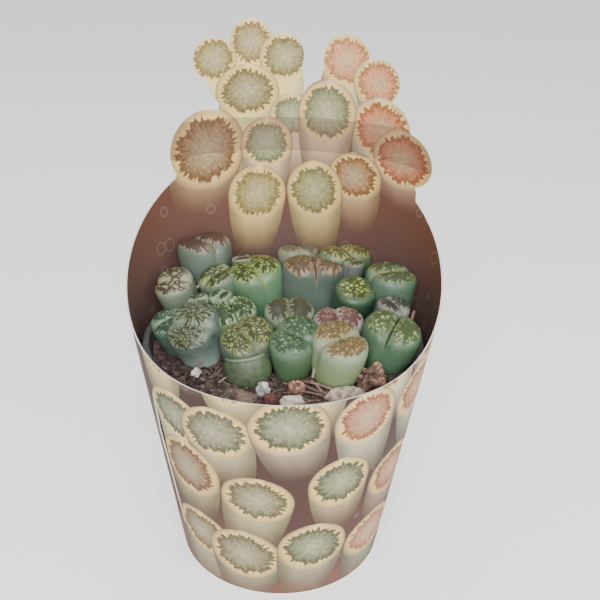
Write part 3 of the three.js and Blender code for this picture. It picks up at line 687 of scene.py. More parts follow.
# The flat sheet's outlines: what keeps card, what cuts it, and the printed pebbles of each side, each
# with its own pebble. Where pebbles overlap, the later one is in front.
def sleevePlan():
    form = sleeveForm
    outlines = [("keep", None, panelLoop())]
    web = []
    for corner, following in zip(crestWeb, crestWeb[1:] + crestWeb[:1]):
        web += splitLine(corner, following, form["webStep"])
    outlines.append(("keep", None, [toFlat(backBearing(*p), p[1]) for p in web]))
    outlines += [("keep", None, lobeLoop(*lobe)) for lobe in crestLobes]
    halfTurn = math.degrees(form["slotWidth"] / 2 / sleeveRadius(form["slotLow"]))
    left, right = form["slotBearing"] - halfTurn, form["slotBearing"] + halfTurn
    outlines.append(("cut", None, [toFlat(left, form["slotLow"]), toFlat(right, form["slotLow"]),
                                   toFlat(right, form["slotHigh"]), toFlat(left, form["slotHigh"])]))
    crest, inner, outer = makePebbles()
    outlines += [("both", pebble, pebbleFlat(pebble)) for pebble in crest]
    outlines += [("out", pebble, pebbleFlat(pebble)) for pebble in outer]
    outlines += [("in", pebble, pebbleFlat(pebble)) for pebble in inner]
    return outlines


# The sheet rolled to its cone, in mm. Two layers hold the number of the outline whose pebble is
# printed on each side of a face, or -1.
def rollSheet(outlines):
    form = sleeveForm
    flat, loops = [], []
    for _, _, loop in outlines:
        area = sum(p.x * q.y - q.x * p.y for p, q in zip(loop, loop[1:] + loop[:1]))
        order = list(range(len(flat), len(flat) + len(loop)))
        loops.append(order if area > 0 else order[::-1])
        flat += loop
    for k in range(1, int(360 / form["gridTurn"])):
        for row in range(1, int(form["gridTop"] / form["gridRise"])):
            shift = 0.5 * (row % 2)
            flat.append(toFlat(form["seam"] + form["gridTurn"] * (k + shift), row * form["gridRise"]))
    spots, _, triangles, _, _, owners = geometry.delaunay_2d_cdt(flat, [], loops, 1, 1e-4)

    bm = bmesh.new()
    printed = {side: bm.faces.layers.int.new(side + "Pebble") for side in ("out", "in")}
    verts = []
    for spot in spots:
        bearing = spot.x / form["flatRadius"] + math.radians(form["seam"])
        radius = sleeveRadius(spot.y)
        verts.append(bm.verts.new((radius * math.sin(bearing), -radius * math.cos(bearing), spot.y)))
    for triangle, over in zip(triangles, owners):
        kinds = {outlines[k][0] for k in over}
        if "keep" not in kinds or "cut" in kinds:
            continue
        face = bm.faces.new([verts[k] for k in triangle])
        for side, layer in printed.items():
            face[layer] = max((k for k in over if outlines[k][0] in (side, "both")), default=-1)
    bmesh.ops.delete(bm, geom=[v for v in bm.verts if not v.link_faces], context="VERTS")
    bmesh.ops.remove_doubles(bm, verts=bm.verts, dist=0.01)
    return bm, printed


# gives the sheet its thickness and lifts the lip beside the slot; returns the points of the inside
def thickenCard(bm):
    form = sleeveForm
    outer = set(bm.verts)
    bmesh.ops.extrude_face_region(bm, geom=bm.faces[:])
    inner = {v for v in bm.verts if v not in outer}
    for vert in bm.verts:
        bearing = math.degrees(math.atan2(vert.co.x, -vert.co.y))
        away = Vector((vert.co.x, vert.co.y, 0)).normalized()
        left = math.radians(form["slotBearing"] - bearing) * sleeveRadius(vert.co.z)
        near = max(1 - left / form["lipReach"], 0) if left > 0 else 0
        tall = smoothStep(form["slotLow"], form["slotLow"] + form["lipEase"], vert.co.z)
        tall *= 1 - smoothStep(form["slotHigh"] - form["lipEase"], form["slotHigh"], vert.co.z)
        move = form["lipLift"] * near ** 1.5 * tall
        if vert in inner:
            move -= form["card"]
        vert.co += away * move
    bmesh.ops.recalc_face_normals(bm, faces=bm.faces)
    return inner


cardSides = ["outside", "inside", "cut"]      # the order of the sleeve's materials


# gives each face its material, and each corner its pebble's colours and its own place on that pebble
def placePrint(bm, outlines, printed, inner):
    printPlace = bm.loops.layers.float_vector.new("printPlace")
    bodyTint = bm.loops.layers.float_color.new("bodyTint")
    capTint = bm.loops.layers.float_color.new("capTint")
    for face in bm.faces:
        inside = sum(v in inner for v in face.verts)
        if 0 < inside < len(face.verts):
            face.material_index = cardSides.index("cut")
            continue
        face.material_index = cardSides.index("inside" if inside else "outside")
        index = face[printed["in" if inside else "out"]]
        pebble = outlines[index][1] if index >= 0 else None
        for corner in face.loops:
            if not pebble:
                corner[bodyTint] = (0, 0, 0, 0)
                continue
            co = corner.vert.co
            bearing = math.degrees(math.atan2(co.x, -co.y))
            x, y, side, down = pebbleLocal(pebble, bearing, co.z)
            corner[printPlace] = (x, y, side)
            corner[bodyTint] = pebble["body"]
            corner[capTint] = pebble["cap"][:3] + [down]


def makeSleeve():
    outlines = sleevePlan()
    bm, printed = rollSheet(outlines)
    inner = thickenCard(bm)
    placePrint(bm, outlines, printed, inner)
    bmesh.ops.transform(bm, matrix=Matrix.Scale(mm, 4), verts=bm.verts)
    materials = [printedCard("printedCardOutside", cardPrints["outside"]),
                 printedCard("printedCardInside", cardPrints["inside"]), cutCard()]
    sleeve = finishPiece(bm, "card_sleeve", materials, ["sleeve"])
    for face in sleeve.data.polygons:
        face.use_smooth = face.material_index != cardSides.index("cut")
    sleeve.data.set_sharp_from_angle(angle=math.radians(40))
    print("card sleeve made:", len(sleeve.data.polygons), "faces")


# the ground's colours near the crest, lower down and at the foot, where the lower one lies on the way
# up, and how dark the plain band across the crest is; inside, the darker low and foot colours are partly
# the print's own and partly painted shade of the front rim falling inside the sleeve
cardPrints = {
    "outside": dict(high="392925", low="48332e", foot="6d4b40", lowAt=0.42, band=0),
    # inside: darker towards the foot, partly the print and partly painted shade
    "inside": dict(high="644337", low="5f4c48", foot="4d4442", lowAt=0.7, band=0.45),
}
printPattern = {    # sizes in mm
    "clouds": 38.46, "drops": 7.692, "mottle": 2.381, "fray": 1.111, "specks": 1.613,
    "bandMiddle": 124.5, "bandHalf": 5.5,
}


# The cloudy ground, with a few faint rings.
def printGround(tree, look, place, height):
    clouds = addNode(tree, "TexNoise", {"Vector": place, "Scale": 1000 / printPattern["clouds"],
                                        "Detail": 3.0}).outputs["Fac"]
    level = addNode(tree, "Math", {0: clouds, 1: 0.05, 2: height}, operation="MULTIPLY_ADD").outputs[0]
    level = addNode(tree, "Math", {0: level, 1: 7.0}, operation="MULTIPLY").outputs[0]
    ground = addNode(tree, "ValToRGB", {0: level})
    stops = ground.color_ramp.elements
    stops[0].position = 0.22
    stops[0].color = linear(look["foot"])
    stops[1].position = 0.9
    stops[1].color = linear(look["high"])
    stops.new(look["lowAt"]).color = linear(look["low"])
    drops = addNode(tree, "TexVoronoi", {"Vector": place, "Scale": 1000 / printPattern["drops"],
                                         "Randomness": 1.0})
    ring = addNode(tree, "Math", {0: drops.outputs["Distance"], 1: 0.27, 2: 0.035},
                   operation="COMPARE").outputs[0]
    some = addNode(tree, "SeparateXYZ", {0: drops.outputs["Color"]}).outputs[0]
    some = addNode(tree, "Math", {0: some, 1: 0.6}, operation="GREATER_THAN").outputs[0]
    ring = addNode(tree, "Math", {0: ring, 1: some}, operation="MULTIPLY").outputs[0]
    ring = addNode(tree, "Math", {0: ring, 1: 0.09}, operation="MULTIPLY").outputs[0]
    return addNode(tree, "Mix", {"Factor": ring, 6: ground.outputs["Color"], 7: linear("c9b6a8")},
                   data_type="RGBA").outputs[2]


# A pebble's body: light along its middle, darker towards its sides, lost in the ground at its foot.
def printBody(tree, place, height, side, down, tint, ground):
    shade = addNode(tree, "MapRange", {"Value": side, "From Min": 0.25, "From Max": 1.02, "To Min": 1.0,
                                       "To Max": 0.42}, interpolation_type="SMOOTHSTEP").outputs["Result"]
    fall = addNode(tree, "MapRange", {"Value": down, "From Min": 0.0, "From Max": 0.9, "To Min": 1.05,
                                      "To Max": 0.5}).outputs["Result"]
    mottle = addNode(tree, "TexNoise", {"Vector": place, "Scale": 1000 / printPattern["mottle"],
                                        "Detail": 3.0}).outputs["Fac"]
    mottle = addNode(tree, "MapRange", {"Value": mottle, "From Min": 0.3, "From Max": 0.7, "To Min": 0.94,
                                        "To Max": 1.06}).outputs["Result"]
    rising = addNode(tree, "MapRange", {"Value": height, "From Min": 0.012, "From Max": 0.066, "To Min": 0.66,
                                        "To Max": 1.1}).outputs["Result"]
    for factor in (rising, fall, mottle):
        shade = addNode(tree, "Math", {0: shade, 1: factor}, operation="MULTIPLY").outputs[0]
    colour = addNode(tree, "Mix", {"Factor": 1.0, 6: tint, 7: shade}, data_type="RGBA",
                     blend_type="MULTIPLY").outputs[2]
    sunk = addNode(tree, "MapRange", {"Value": down, "From Min": 0.4, "From Max": 0.88, "To Min": 0.0,
                                      "To Max": 1.0}).outputs["Result"]
    return addNode(tree, "Mix", {"Factor": sunk, 6: colour, 7: ground}, data_type="RGBA").outputs[2]


# Its cap: the mask and colour of a toothed field, light in the middle and brown at its teeth.
def printCap(tree, place, flat, reach, tint):
    bearing = addNode(tree, "VectorMath", {0: flat}, operation="NORMALIZE").outputs["Vector"]
    ownSeed = addNode(tree, "SeparateXYZ", {0: tint}).outputs[0]
    ownSeed = addNode(tree, "Math", {0: ownSeed, 1: 90.0}, operation="MULTIPLY").outputs[0]
    teeth = addNode(tree, "TexNoise", {"Vector": bearing, "W": ownSeed, "Scale": 5.6, "Detail": 1.0},
                    noise_dimensions="4D").outputs["Fac"]
    teeth = addNode(tree, "Math", {0: teeth, 1: 2.0, 2: -1.0}, operation="MULTIPLY_ADD").outputs[0]
    teeth = addNode(tree, "Math", {0: teeth}, operation="ABSOLUTE").outputs[0]
    limit = addNode(tree, "MapRange", {"Value": teeth, "From Min": 0.0, "From Max": 0.28, "To Min": 0.86,
                                       "To Max": 0.7}).outputs["Result"]
    fray = addNode(tree, "TexNoise", {"Vector": place, "Scale": 1000 / printPattern["fray"],
                                      "Detail": 2.0}).outputs["Fac"]
    limit = addNode(tree, "Math", {0: fray, 1: 0.14, 2: limit}, operation="MULTIPLY_ADD").outputs[0]
    edge = addNode(tree, "Math", {0: limit, 1: reach}, operation="SUBTRACT").outputs[0]
    field = addNode(tree, "MapRange", {"Value": edge, "From Min": 0.04, "From Max": 0.09}).outputs["Result"]
    streaky = addNode(tree, "Math", {0: teeth, 1: 0.45, 2: reach}, operation="MULTIPLY_ADD").outputs[0]
    middle = addNode(tree, "MapRange", {"Value": streaky, "From Min": 0.05, "From Max": 0.75, "To Min": 0.5,
                                        "To Max": 0.0}).outputs["Result"]
    colour = addNode(tree, "Mix", {"Factor": middle, 6: tint, 7: linear("bcb999")},
                     data_type="RGBA").outputs[2]
    tips = addNode(tree, "MapRange", {"Value": edge, "From Min": 0.05, "From Max": 0.3, "To Min": 0.5,
                                      "To Max": 1.08}).outputs["Result"]
    blotch = addNode(tree, "MapRange", {"Value": fray, "From Min": 0.3, "From Max": 0.7, "To Min": 0.8,
                                        "To Max": 1.2}).outputs["Result"]
    for factor in (tips, blotch):
        colour = addNode(tree, "Mix", {"Factor": 1.0, 6: colour, 7: factor}, data_type="RGBA",
                         blend_type="MULTIPLY").outputs[2]
    specks = addNode(tree, "TexVoronoi", {"Vector": place,
                                          "Scale": 1000 / printPattern["specks"]}).outputs["Distance"]
    specks = addNode(tree, "MapRange", {"Value": specks, "From Min": 0.08, "From Max": 0.2, "To Min": 0.4,
                                        "To Max": 0.0}).outputs["Result"]
    colour = addNode(tree, "Mix", {"Factor": specks, 6: colour, 7: linear("e6e2d2")},
                     data_type="RGBA").outputs[2]
    return field, colour


# Printed card: smooth coated board with a satin sheen. Cream pebbles with toothed dark caps stand on
# a cloudy mauve-brown ground that carries a few faint rings, as dried drops leave.
def printedCard(name, look):
    material, tree, shader = addMaterial(name, Roughness=0.6, Specular_IOR_Level=0.2)
    place = addNode(tree, "TexCoord").outputs["Object"]
    height = addNode(tree, "SeparateXYZ", {0: place}).outputs[2]
    printPlace = addNode(tree, "Attribute", attribute_name="printPlace").outputs["Vector"]
    x, y, side = addNode(tree, "SeparateXYZ", {0: printPlace}).outputs
    side = addNode(tree, "Math", {0: side}, operation="ABSOLUTE").outputs[0]
    body = addNode(tree, "Attribute", attribute_name="bodyTint")
    cap = addNode(tree, "Attribute", attribute_name="capTint")
    down = cap.outputs["Alpha"]
    flat = addNode(tree, "CombineXYZ", {0: x, 1: y}).outputs[0]
    reach = addNode(tree, "VectorMath", {0: flat}, operation="LENGTH").outputs["Value"]

    ground = printGround(tree, look, place, height)
    pebble = printBody(tree, place, height, side, down, body.outputs["Color"], ground)
    glow = addNode(tree, "MapRange", {"Value": reach, "From Min": 0.8, "From Max": 1.05, "To Min": 0.85,
                                      "To Max": 0.0}).outputs["Result"]
    pebble = addNode(tree, "Mix", {"Factor": glow, 6: pebble, 7: linear("e3bf78")},
                     data_type="RGBA").outputs[2]
    field, fieldColour = printCap(tree, place, flat, reach, cap.outputs["Color"])
    pebble = addNode(tree, "Mix", {"Factor": field, 6: pebble, 7: fieldColour}, data_type="RGBA").outputs[2]

    # a thin shaded line round each pebble
    rimLine = addNode(tree, "MapRange", {"Value": down, "From Min": 0.3, "From Max": 0.75, "To Min": 0.5,
                                         "To Max": 0.0}).outputs["Result"]
    nearRim = addNode(tree, "MapRange", {"Value": side, "From Min": 0.95, "From Max": 1.0}).outputs["Result"]
    rimLine = addNode(tree, "Math", {0: rimLine, 1: nearRim}, operation="MULTIPLY").outputs[0]
    rimLine = addNode(tree, "Math", {0: 1.0, 1: rimLine}, operation="SUBTRACT").outputs[0]
    pebble = addNode(tree, "Mix", {"Factor": 1.0, 6: pebble, 7: rimLine}, data_type="RGBA",
                     blend_type="MULTIPLY").outputs[2]
    colour = addNode(tree, "Mix", {"Factor": body.outputs["Alpha"], 6: ground, 7: pebble},
                     data_type="RGBA").outputs[2]
    band = addNode(tree, "Math", {0: height, 1: printPattern["bandMiddle"] * mm,
                                  2: printPattern["bandHalf"] * mm}, operation="COMPARE").outputs[0]
    band = addNode(tree, "Math", {0: band, 1: look["band"]}, operation="MULTIPLY").outputs[0]
    colour = addNode(tree, "Mix", {"Factor": band, 6: colour, 7: linear("5a3d35")},
                     data_type="RGBA").outputs[2]
    tree.links.new(colour, shader.inputs["Base Color"])
    return material


# Uncoated core of the card, bright and matt where it was cut.
def cutCard():
    material, _, shader = addMaterial("cardCutEdge", Roughness=0.85)
    shader.inputs["Base Color"].default_value = linear("ded7ce")
    return material


makeSleeve()


potForm = {
    "foot": 31.8, "top": 74, "lip": 43.25, "lipDrop": 4, "lipWidth": 2.1, "wall": 0.9, "floor": 1.6,   # mm
    "footStep": 1.2,            # width of the wall's own flat underside
    "lipDraft": 0.25,           # how much further out the lip is at its top than at its foot
    "wallRise": 0.2,            # the height at which the inner wall starts, inside the floor
    "floorInset": 1, "round": 0.5,
    "drainCount": 6, "drainRadius": 3, "drainRing": 20, "drainSides": 32, "sides": 160,
}


# the radius of the pot's inside at a height
def potInside(z):
    form = potForm
    foot = form["foot"] - form["wall"]
    return foot + (form["lip"] - form["lipWidth"] - foot) * z / form["top"]


def ringPoints(x, y, radius, sides):
    turns = [2 * math.pi * k / sides for k in range(sides)]
    return [Vector((x + radius * math.cos(turn), y + radius * math.sin(turn))) for turn in turns]


def makePot():
    form = potForm
    bm = bmesh.new()
    lipFoot = form["top"] - form["lipDrop"]
    inLip = form["lip"] - form["lipWidth"]
    profile = [(form["foot"] - form["footStep"], 0), (form["foot"], 0),
               (potInside(lipFoot) + form["wall"], lipFoot), (form["lip"] - form["lipDraft"], lipFoot),
               (form["lip"], form["top"]), (inLip, form["top"]), (potInside(0), form["wallRise"])]
    chain = [bm.verts.new((r, 0, z)) for r, z in profile]
    for pair in zip(chain, chain[1:] + chain[:1]):
        bm.edges.new(pair)
    bmesh.ops.bevel(bm, geom=[chain[1], chain[3], chain[4], chain[5]], offset=form["round"],
                    offset_type="OFFSET", segments=3, profile=0.5, affect="VERTICES", material=-1)
    bmesh.ops.spin(bm, geom=bm.verts[:] + bm.edges[:], cent=(0, 0, 0), axis=(0, 0, 1), angle=2 * math.pi,
                   steps=form["sides"], use_merge=True)

    # floor of the pot with its drain holes
    rings = [ringPoints(0, 0, form["foot"] - form["floorInset"], form["sides"])]
    for k in range(form["drainCount"]):
        bearing = 2 * math.pi * (k + 0.5) / form["drainCount"]
        rings.append(ringPoints(form["drainRing"] * math.cos(bearing), form["drainRing"] * math.sin(bearing),
                                form["drainRadius"], form["drainSides"]))
    flat, loops = [], []
    for ring in rings:
        loops.append(list(range(len(flat), len(flat) + len(ring))))
        flat += ring
    spots, _, triangles, _, _, owners = geometry.delaunay_2d_cdt(flat, [], loops, 1, 1e-4)
    verts = [bm.verts.new((p.x, p.y, 0)) for p in spots]
    plate = [bm.faces.new([verts[k] for k in triangle]) for triangle, over in zip(triangles, owners)
             if list(over) == [0]]
    raised = bmesh.ops.extrude_face_region(bm, geom=plate)["geom"]
    raised = [v for v in raised if isinstance(v, bmesh.types.BMVert)]
    bmesh.ops.translate(bm, verts=raised, vec=(0, 0, form["floor"]))
    bmesh.ops.recalc_face_normals(bm, faces=bm.faces)
    bmesh.ops.transform(bm, matrix=Matrix.Scale(mm, 4), verts=bm.verts)
    pot = finishPiece(bm, "nursery_pot", [potPlastic()], ["pot"])
    pot.data.set_sharp_from_angle(angle=math.radians(35))
    print("pot made")


# Thin moulded nursery plastic: grey, slightly shiny, with faint scuffs.
def potPlastic():
    material, tree, shader = addMaterial("greyPotPlastic", IOR=1.5)
    place = addNode(tree, "TexCoord").outputs["Object"]
    # scuffs about 3 mm long
    scuff = addNode(tree, "TexNoise", {"Vector": place, "Scale": 1000 / 3.333, "Detail": 4.0}).outputs["Fac"]
    colour = addNode(tree, "ValToRGB", {0: scuff})
    colour.color_ramp.elements[0].position = 0.35
    colour.color_ramp.elements[0].color = linear("474b4b")
    colour.color_ramp.elements[1].position = 0.75
    colour.color_ramp.elements[1].color = linear("686c6c")
    tree.links.new(colour.outputs["Color"], shader.inputs["Base Color"])
    gloss = addNode(tree, "MapRange", {"Value": scuff, "To Min": 0.3, "To Max": 0.55}).outputs["Result"]
    tree.links.new(gloss, shader.inputs["Roughness"])
    return material


makePot()


compostForm = {
    "height": 70.2, "foot": 1.9, "gap": 0.35, "sides": 220, "rings": 70,     # mm
    "roll": 0.9, "rollSize": 0.09, "lump": 0.8, "lumpSize": 0.42,
    "crumbs": 1400, "crumbEdge": 2, "crumbSize": (0.3, 1.2), "crumbTones": (0.05, 0.15, 0.25, 0.4, 0.55),
    "fibres": 900, "fibreEdge": 5, "fibreLength": (2, 7), "fibreRadius": (0.06, 0.16), "fibreLift": 0.35,
    "fibreTones": (0.3, 0.4, 0.5, 0.62, 0.8), "fibreSides": 5, "fibreParts": 5,
    "crumbBatch": 150, "fibreBatch": 80, "seed": 31,
    "spreadZ": 70,              # the height at which the pot bounds the loose bits
}
# straws and slivers, listed one by one: start, end, radius, bow sideways, all in mm, and tone
straws = [
    ((-15.7, -19.8, 73), (-10.8, -26.5, 72.4), 0.27, 0.3, 0.92),
    ((-17.5, -26.7, 72), (-14.9, -23.5, 72.5), 0.2, 0.1, 0.8),
    ((-24.6, -18.6, 72.2), (-19.4, -11.2, 73), 0.22, 1.3, 0.62),
    ((-20.4, -24.2, 72), (-16.8, -17.4, 72.6), 0.15, -0.8, 0.7),
    ((6, -26.5, 73), (15, -30.2, 72.4), 0.42, 0.5, 0.6),
    ((7, -28.4, 72.6), (14.4, -31.8, 72), 0.5, -0.4, 0.5),
    ((4.6, -31, 72.4), (12, -32.6, 72), 0.36, 0.3, 0.56),
    ((8.4, -26.4, 73.4), (11.6, -31, 72.4), 0.3, 0.2, 0.66),
    ((9, -24.6, 73), (9.8, -20.4, 76), 0.5, 0.4, 0.78),
    ((38.6, -1.4, 78), (40.2, 2.4, 82), 0.5, 0.4, 0.66),
    ((-29.4, 15.6, 79), (-27.2, 13.6, 84), 0.45, 0.8, 0.95),
]


def compostRise(x, y):
    form = compostForm
    roll = noise.noise(Vector((x, y, 4.1)) * form["rollSize"]) * form["roll"]
    lump = noise.fractal(Vector((x, y, 9.7)) * form["lumpSize"], 0.8, 2.1, 3) * form["lump"]
    return form["height"] + roll + lump


# says whether a point in mm is inside a plant or closer to it than the room given
def insidePlants(place, room):
    searched = 14       # further off than this, a plant is out of the way
    for tree in plantTrees:
        near, normal, _, far = tree.find_nearest(place, searched)
        if near is not None and (far < room or (place - near).dot(normal) < 0):
            return True
    return False


# a chance place on the compost, at least the edge's width from the pot's wall
def scatterSpot(draw, edge):
    radius = math.sqrt(draw.random()) * (potInside(compostForm["spreadZ"]) - edge)
    bearing = draw.uniform(0, 2 * math.pi)
    return radius * math.cos(bearing), radius * math.sin(bearing)


def addCrumb(bits, draw):
    form = compostForm
    tone = bits.verts.layers.float["tone"]
    x, y = scatterSpot(draw, form["crumbEdge"])
    small, large = form["crumbSize"]
    size = small + (large - small) * draw.random() ** 2.5      # most crumbs are small
    place = Vector((x, y, compostRise(x, y) + size * draw.uniform(0, 0.5)))
    shape = Vector((draw.uniform(0.7, 1.5), draw.uniform(0.6, 1.1), draw.uniform(0.5, 0.9)))
    turn = Matrix.Rotation(draw.uniform(0, math.pi), 4, Vector((draw.random(), draw.random(), 1)))
    crumbTone = draw.choice(form["crumbTones"])
    if insidePlants(place, 0.6 * size):
        return
    pose = Matrix.Translation(place) @ turn @ Matrix.Diagonal(shape.to_4d())
    crumb = bmesh.ops.create_icosphere(bits, subdivisions=1, radius=size, matrix=pose)
    for vert in crumb["verts"]:
        vert.co += noise.noise_vector(vert.co * 1.3) * 0.3 * size
        vert[tone] = crumbTone


def addStraw(bits, start, end, radius, bow, strawTone):
    form = compostForm
    tone = bits.verts.layers.float["tone"]
    aim = end - start
    whole = bmesh.ops.create_circle(bits, cap_ends=True, segments=form["fibreSides"], radius=radius)["verts"]
    cap = whole[0].link_faces[0]
    for _ in range(form["fibreParts"]):
        grown = bmesh.ops.extrude_face_region(bits, geom=[cap])["geom"]
        tip = [v for v in grown if isinstance(v, bmesh.types.BMVert)]
        cap = next(f for f in grown if isinstance(f, bmesh.types.BMFace))
        bmesh.ops.translate(bits, verts=tip, vec=(0, 0, aim.length / form["fibreParts"]))
        whole += tip
    for vert in whole:
        vert.co.x += bow * (1 - (2 * vert.co.z / aim.length - 1) ** 2)
        vert[tone] = strawTone
    turn = aim.to_track_quat("Z", "X").to_matrix().to_4x4()
    bmesh.ops.transform(bits, matrix=Matrix.Translation(start) @ turn, verts=whole)


def addFibre(bits, draw):
    form = compostForm
    x, y = scatterSpot(draw, form["fibreEdge"])
    length = draw.uniform(*form["fibreLength"])
    radius = draw.uniform(*form["fibreRadius"])
    place = Vector((x, y, compostRise(x, y) + radius + form["fibreLift"]))
    aim = Vector((draw.uniform(-1, 1), draw.uniform(-1, 1), draw.uniform(-0.12, 0.2))).normalized()
    bow = draw.uniform(-0.25, 0.25) * length
    fibreTone = draw.choice(form["fibreTones"])
    start, end = place - aim * length / 2, place + aim * length / 2
    if insidePlants(place, 0.5) or insidePlants(end, 0.3) or insidePlants(start, 0.3):
        return
    addStraw(bits, start, end, radius, bow, fibreTone)


# loose bits are made in small batches, which stay fast, and each batch is laid on the heap's mesh
def newBatch():
    bits = bmesh.new()
    bits.verts.layers.float.new("tone")
    return bits


def layOnHeap(bits, heap):
    bits.from_mesh(heap)
    bits.to_mesh(heap)
    bits.free()


def scatter(addBit, count, batch, draw, heap):
    for first in range(0, count, batch):
        bits = newBatch()
        for _ in range(min(batch, count - first)):
            addBit(bits, draw)
        layOnHeap(bits, heap)


# the bed that the loose bits lie on, a plug that fills the pot
def makeBed():
    form = compostForm
    bm = bmesh.new()
    tone = bm.verts.layers.float.new("tone")
    topRadius = potInside(form["height"]) - form["gap"]
    radii = [topRadius * k / form["rings"] for k in range(form["rings"] + 1)]
    chain = [bm.verts.new((radius, 0, form["height"])) for radius in radii]
    chain.append(bm.verts.new((potInside(form["foot"]) - form["gap"], 0, form["foot"])))
    chain.append(bm.verts.new((0, 0, form["foot"])))
    for pair in zip(chain, chain[1:]):
        bm.edges.new(pair)
    bmesh.ops.spin(bm, geom=bm.verts[:] + bm.edges[:], cent=(0, 0, 0), axis=(0, 0, 1), angle=2 * math.pi,
                   steps=form["sides"], use_merge=True)
    bmesh.ops.remove_doubles(bm, verts=bm.verts, dist=0.001)
    for vert in bm.verts:
        if vert.co.z > form["height"] - 1:
            vert.co.z = compostRise(vert.co.x, vert.co.y)
            vert[tone] = 0.35 + 0.3 * noise.noise(vert.co * 0.5)
    heap = bpy.data.meshes.new("looseBits")
    bm.to_mesh(heap)
    bm.free()
    return heap


def makeCompost():
    form = compostForm
    draw = random.Random(form["seed"])
    heap = makeBed()
    scatter(addCrumb, form["crumbs"], form["crumbBatch"], draw, heap)
    scatter(addFibre, form["fibres"], form["fibreBatch"], draw, heap)
    bits = newBatch()
    for start, end, radius, bow, strawTone in straws:
        addStraw(bits, Vector(start), Vector(end), radius, bow, strawTone)
    layOnHeap(bits, heap)
    bm = bmesh.new()
    bm.from_mesh(heap)
    bpy.data.meshes.remove(heap)
    bmesh.ops.recalc_face_normals(bm, faces=bm.faces)
    bmesh.ops.transform(bm, matrix=Matrix.Scale(mm, 4), verts=bm.verts)
    compost = finishPiece(bm, "compost_bed", [peatCompost()], ["soil"])
    print("compost made:", len(compost.data.polygons), "faces")


# Peat and coconut fibre: matt, dark between the crumbs, reddish and straw coloured on the raised bits.
def peatCompost():
    material, tree, shader = addMaterial("peatAndFibre", Roughness=0.95)
    place = addNode(tree, "TexCoord").outputs["Object"]
    tone = addNode(tree, "Attribute", attribute_name="tone").outputs["Fac"]
    # grains of 0.67 mm, the finest that show
    grain = addNode(tree, "TexNoise", {"Vector": place, "Scale": 1000 / 0.6667, "Detail": 4.0}).outputs["Fac"]
    level = addNode(tree, "Math", {0: grain, 1: 0.5, 2: tone}, operation="MULTIPLY_ADD").outputs[0]
    level = addNode(tree, "Math", {0: level, 1: -0.25}, operation="ADD").outputs[0]
    colour = addNode(tree, "ValToRGB", {0: level})
    stops = colour.color_ramp.elements
    stops[0].position = 0.0
    stops[0].color = linear("261e1d")
    stops[1].position = 1.0
    stops[1].color = linear("d6c8b4")
    stops.new(0.3).color = linear("4a3b38")
    stops.new(0.55).color = linear("745c54")
    stops.new(0.8).color = linear("9c8876")
    tree.links.new(colour.outputs["Color"], shader.inputs["Base Color"])
    bump = addNode(tree, "Bump", {"Height": grain, "Strength": 0.6, "Distance": 0.0004})
    tree.links.new(bump.outputs["Normal"], shader.inputs["Normal"])
    return material


makeCompost()


# where each bit of grit lies and its half sizes in mm, its turn in degrees, how uneven its outline is, its
# colours, how pitted it is, and the colour of its top where that differs
gritBits = {
    "perlite_grain": dict(
        at=(-5, -30, 72), half=(2.2, 2.1, 2), turn=20, rough=0.3,
        light="dcd9d2", dark="74736f", pits=0.5, slot="light_stone"),
    "pumice_stone": dict(
        at=(18, -31, 71.4), half=(5.6, 3.2, 2.2), turn=14, rough=0.2,
        light="c3b2a2", dark="8b796c", pits=1.3, slot="light_stone"),
    "pink_chunk": dict(
        at=(4.6, -29, 72), half=(2.3, 2, 2.3), turn=0, rough=0.5,
        light="a87b69", dark="4d332d", top="c99c80", pits=0.6, slot="dark_stone"),
    "white_stone": dict(
        at=(3.3, -36, 71.8), half=(3.1, 2.1, 1.9), turn=-16, rough=0.34,
        light="d9c8bf", dark="b59f97", pits=0.2, slot="light_stone"),
    "brown_stone": dict(
        at=(-11.8, -33.4, 71.4), half=(5.2, 3.1, 2.2), turn=-16, rough=0.26,
        light="7d695e", dark="453731", pits=0.5, slot="dark_stone"),
    "red_stone": dict(
        at=(-2.6, -34.9, 71.6), half=(2.2, 1.9, 1.8), turn=30, rough=0.3,
        light="6c403c", dark="3d2221", pits=0.2, slot="dark_stone"),
    "bark_chunk": dict(
        at=(26, -24.8, 73), half=(4.2, 3.6, 4.2), turn=10, rough=0.5,
        light="7d6355", dark="33271f", top="c58b60", pits=1.0, slot="bark"),
    "white_grain": dict(
        at=(-24.6, -21, 71.8), half=(1.4, 1.2, 1.4), turn=40, rough=0.4,
        light="e4dcd4", dark="b8a69c", pits=0.3, slot="light_stone"),
}


# how many lumps, facets and pits lie across a bit, and how far apart in the noise two bits are
gritForm = {"lump": 1.1, "fineLump": 2.6, "facet": 1.6, "pit": 5.5, "shift": 1.7}


def makeGrit():
    form = gritForm
    for name, look in gritBits.items():
        bm = bmesh.new()
        bmesh.ops.create_icosphere(bm, subdivisions=5, radius=1)
        half = Vector(look["half"])
        shift = Vector(look["at"]) * form["shift"]
        for vert in bm.verts:
            point = vert.co.copy()
            lumps = noise.noise(point * form["lump"] + shift)
            lumps += 0.5 * noise.noise(point * form["fineLump"] + shift)
            facets = noise.voronoi(point * form["facet"] + shift)[0][0]
            pit = max(0.0, noise.noise(point * form["pit"] + shift) - 0.15) * look["pits"]
            swell = 1 + look["rough"] * (lumps + 0.5 * facets - 0.2) - 0.35 * pit
            vert.co = Vector((point.x * half.x, point.y * half.y, point.z * half.z)) * swell
        turn = Matrix.Rotation(math.radians(look["turn"]), 4, "Z")
        pose = Matrix.Scale(mm, 4) @ Matrix.Translation(look["at"]) @ turn
        bmesh.ops.transform(bm, matrix=pose, verts=bm.verts)
        bmesh.ops.recalc_face_normals(bm, faces=bm.faces)
        finishPiece(bm, "grit_" + name, [gritStone(name, look)], [name])
    print("grit made:", len(gritBits))
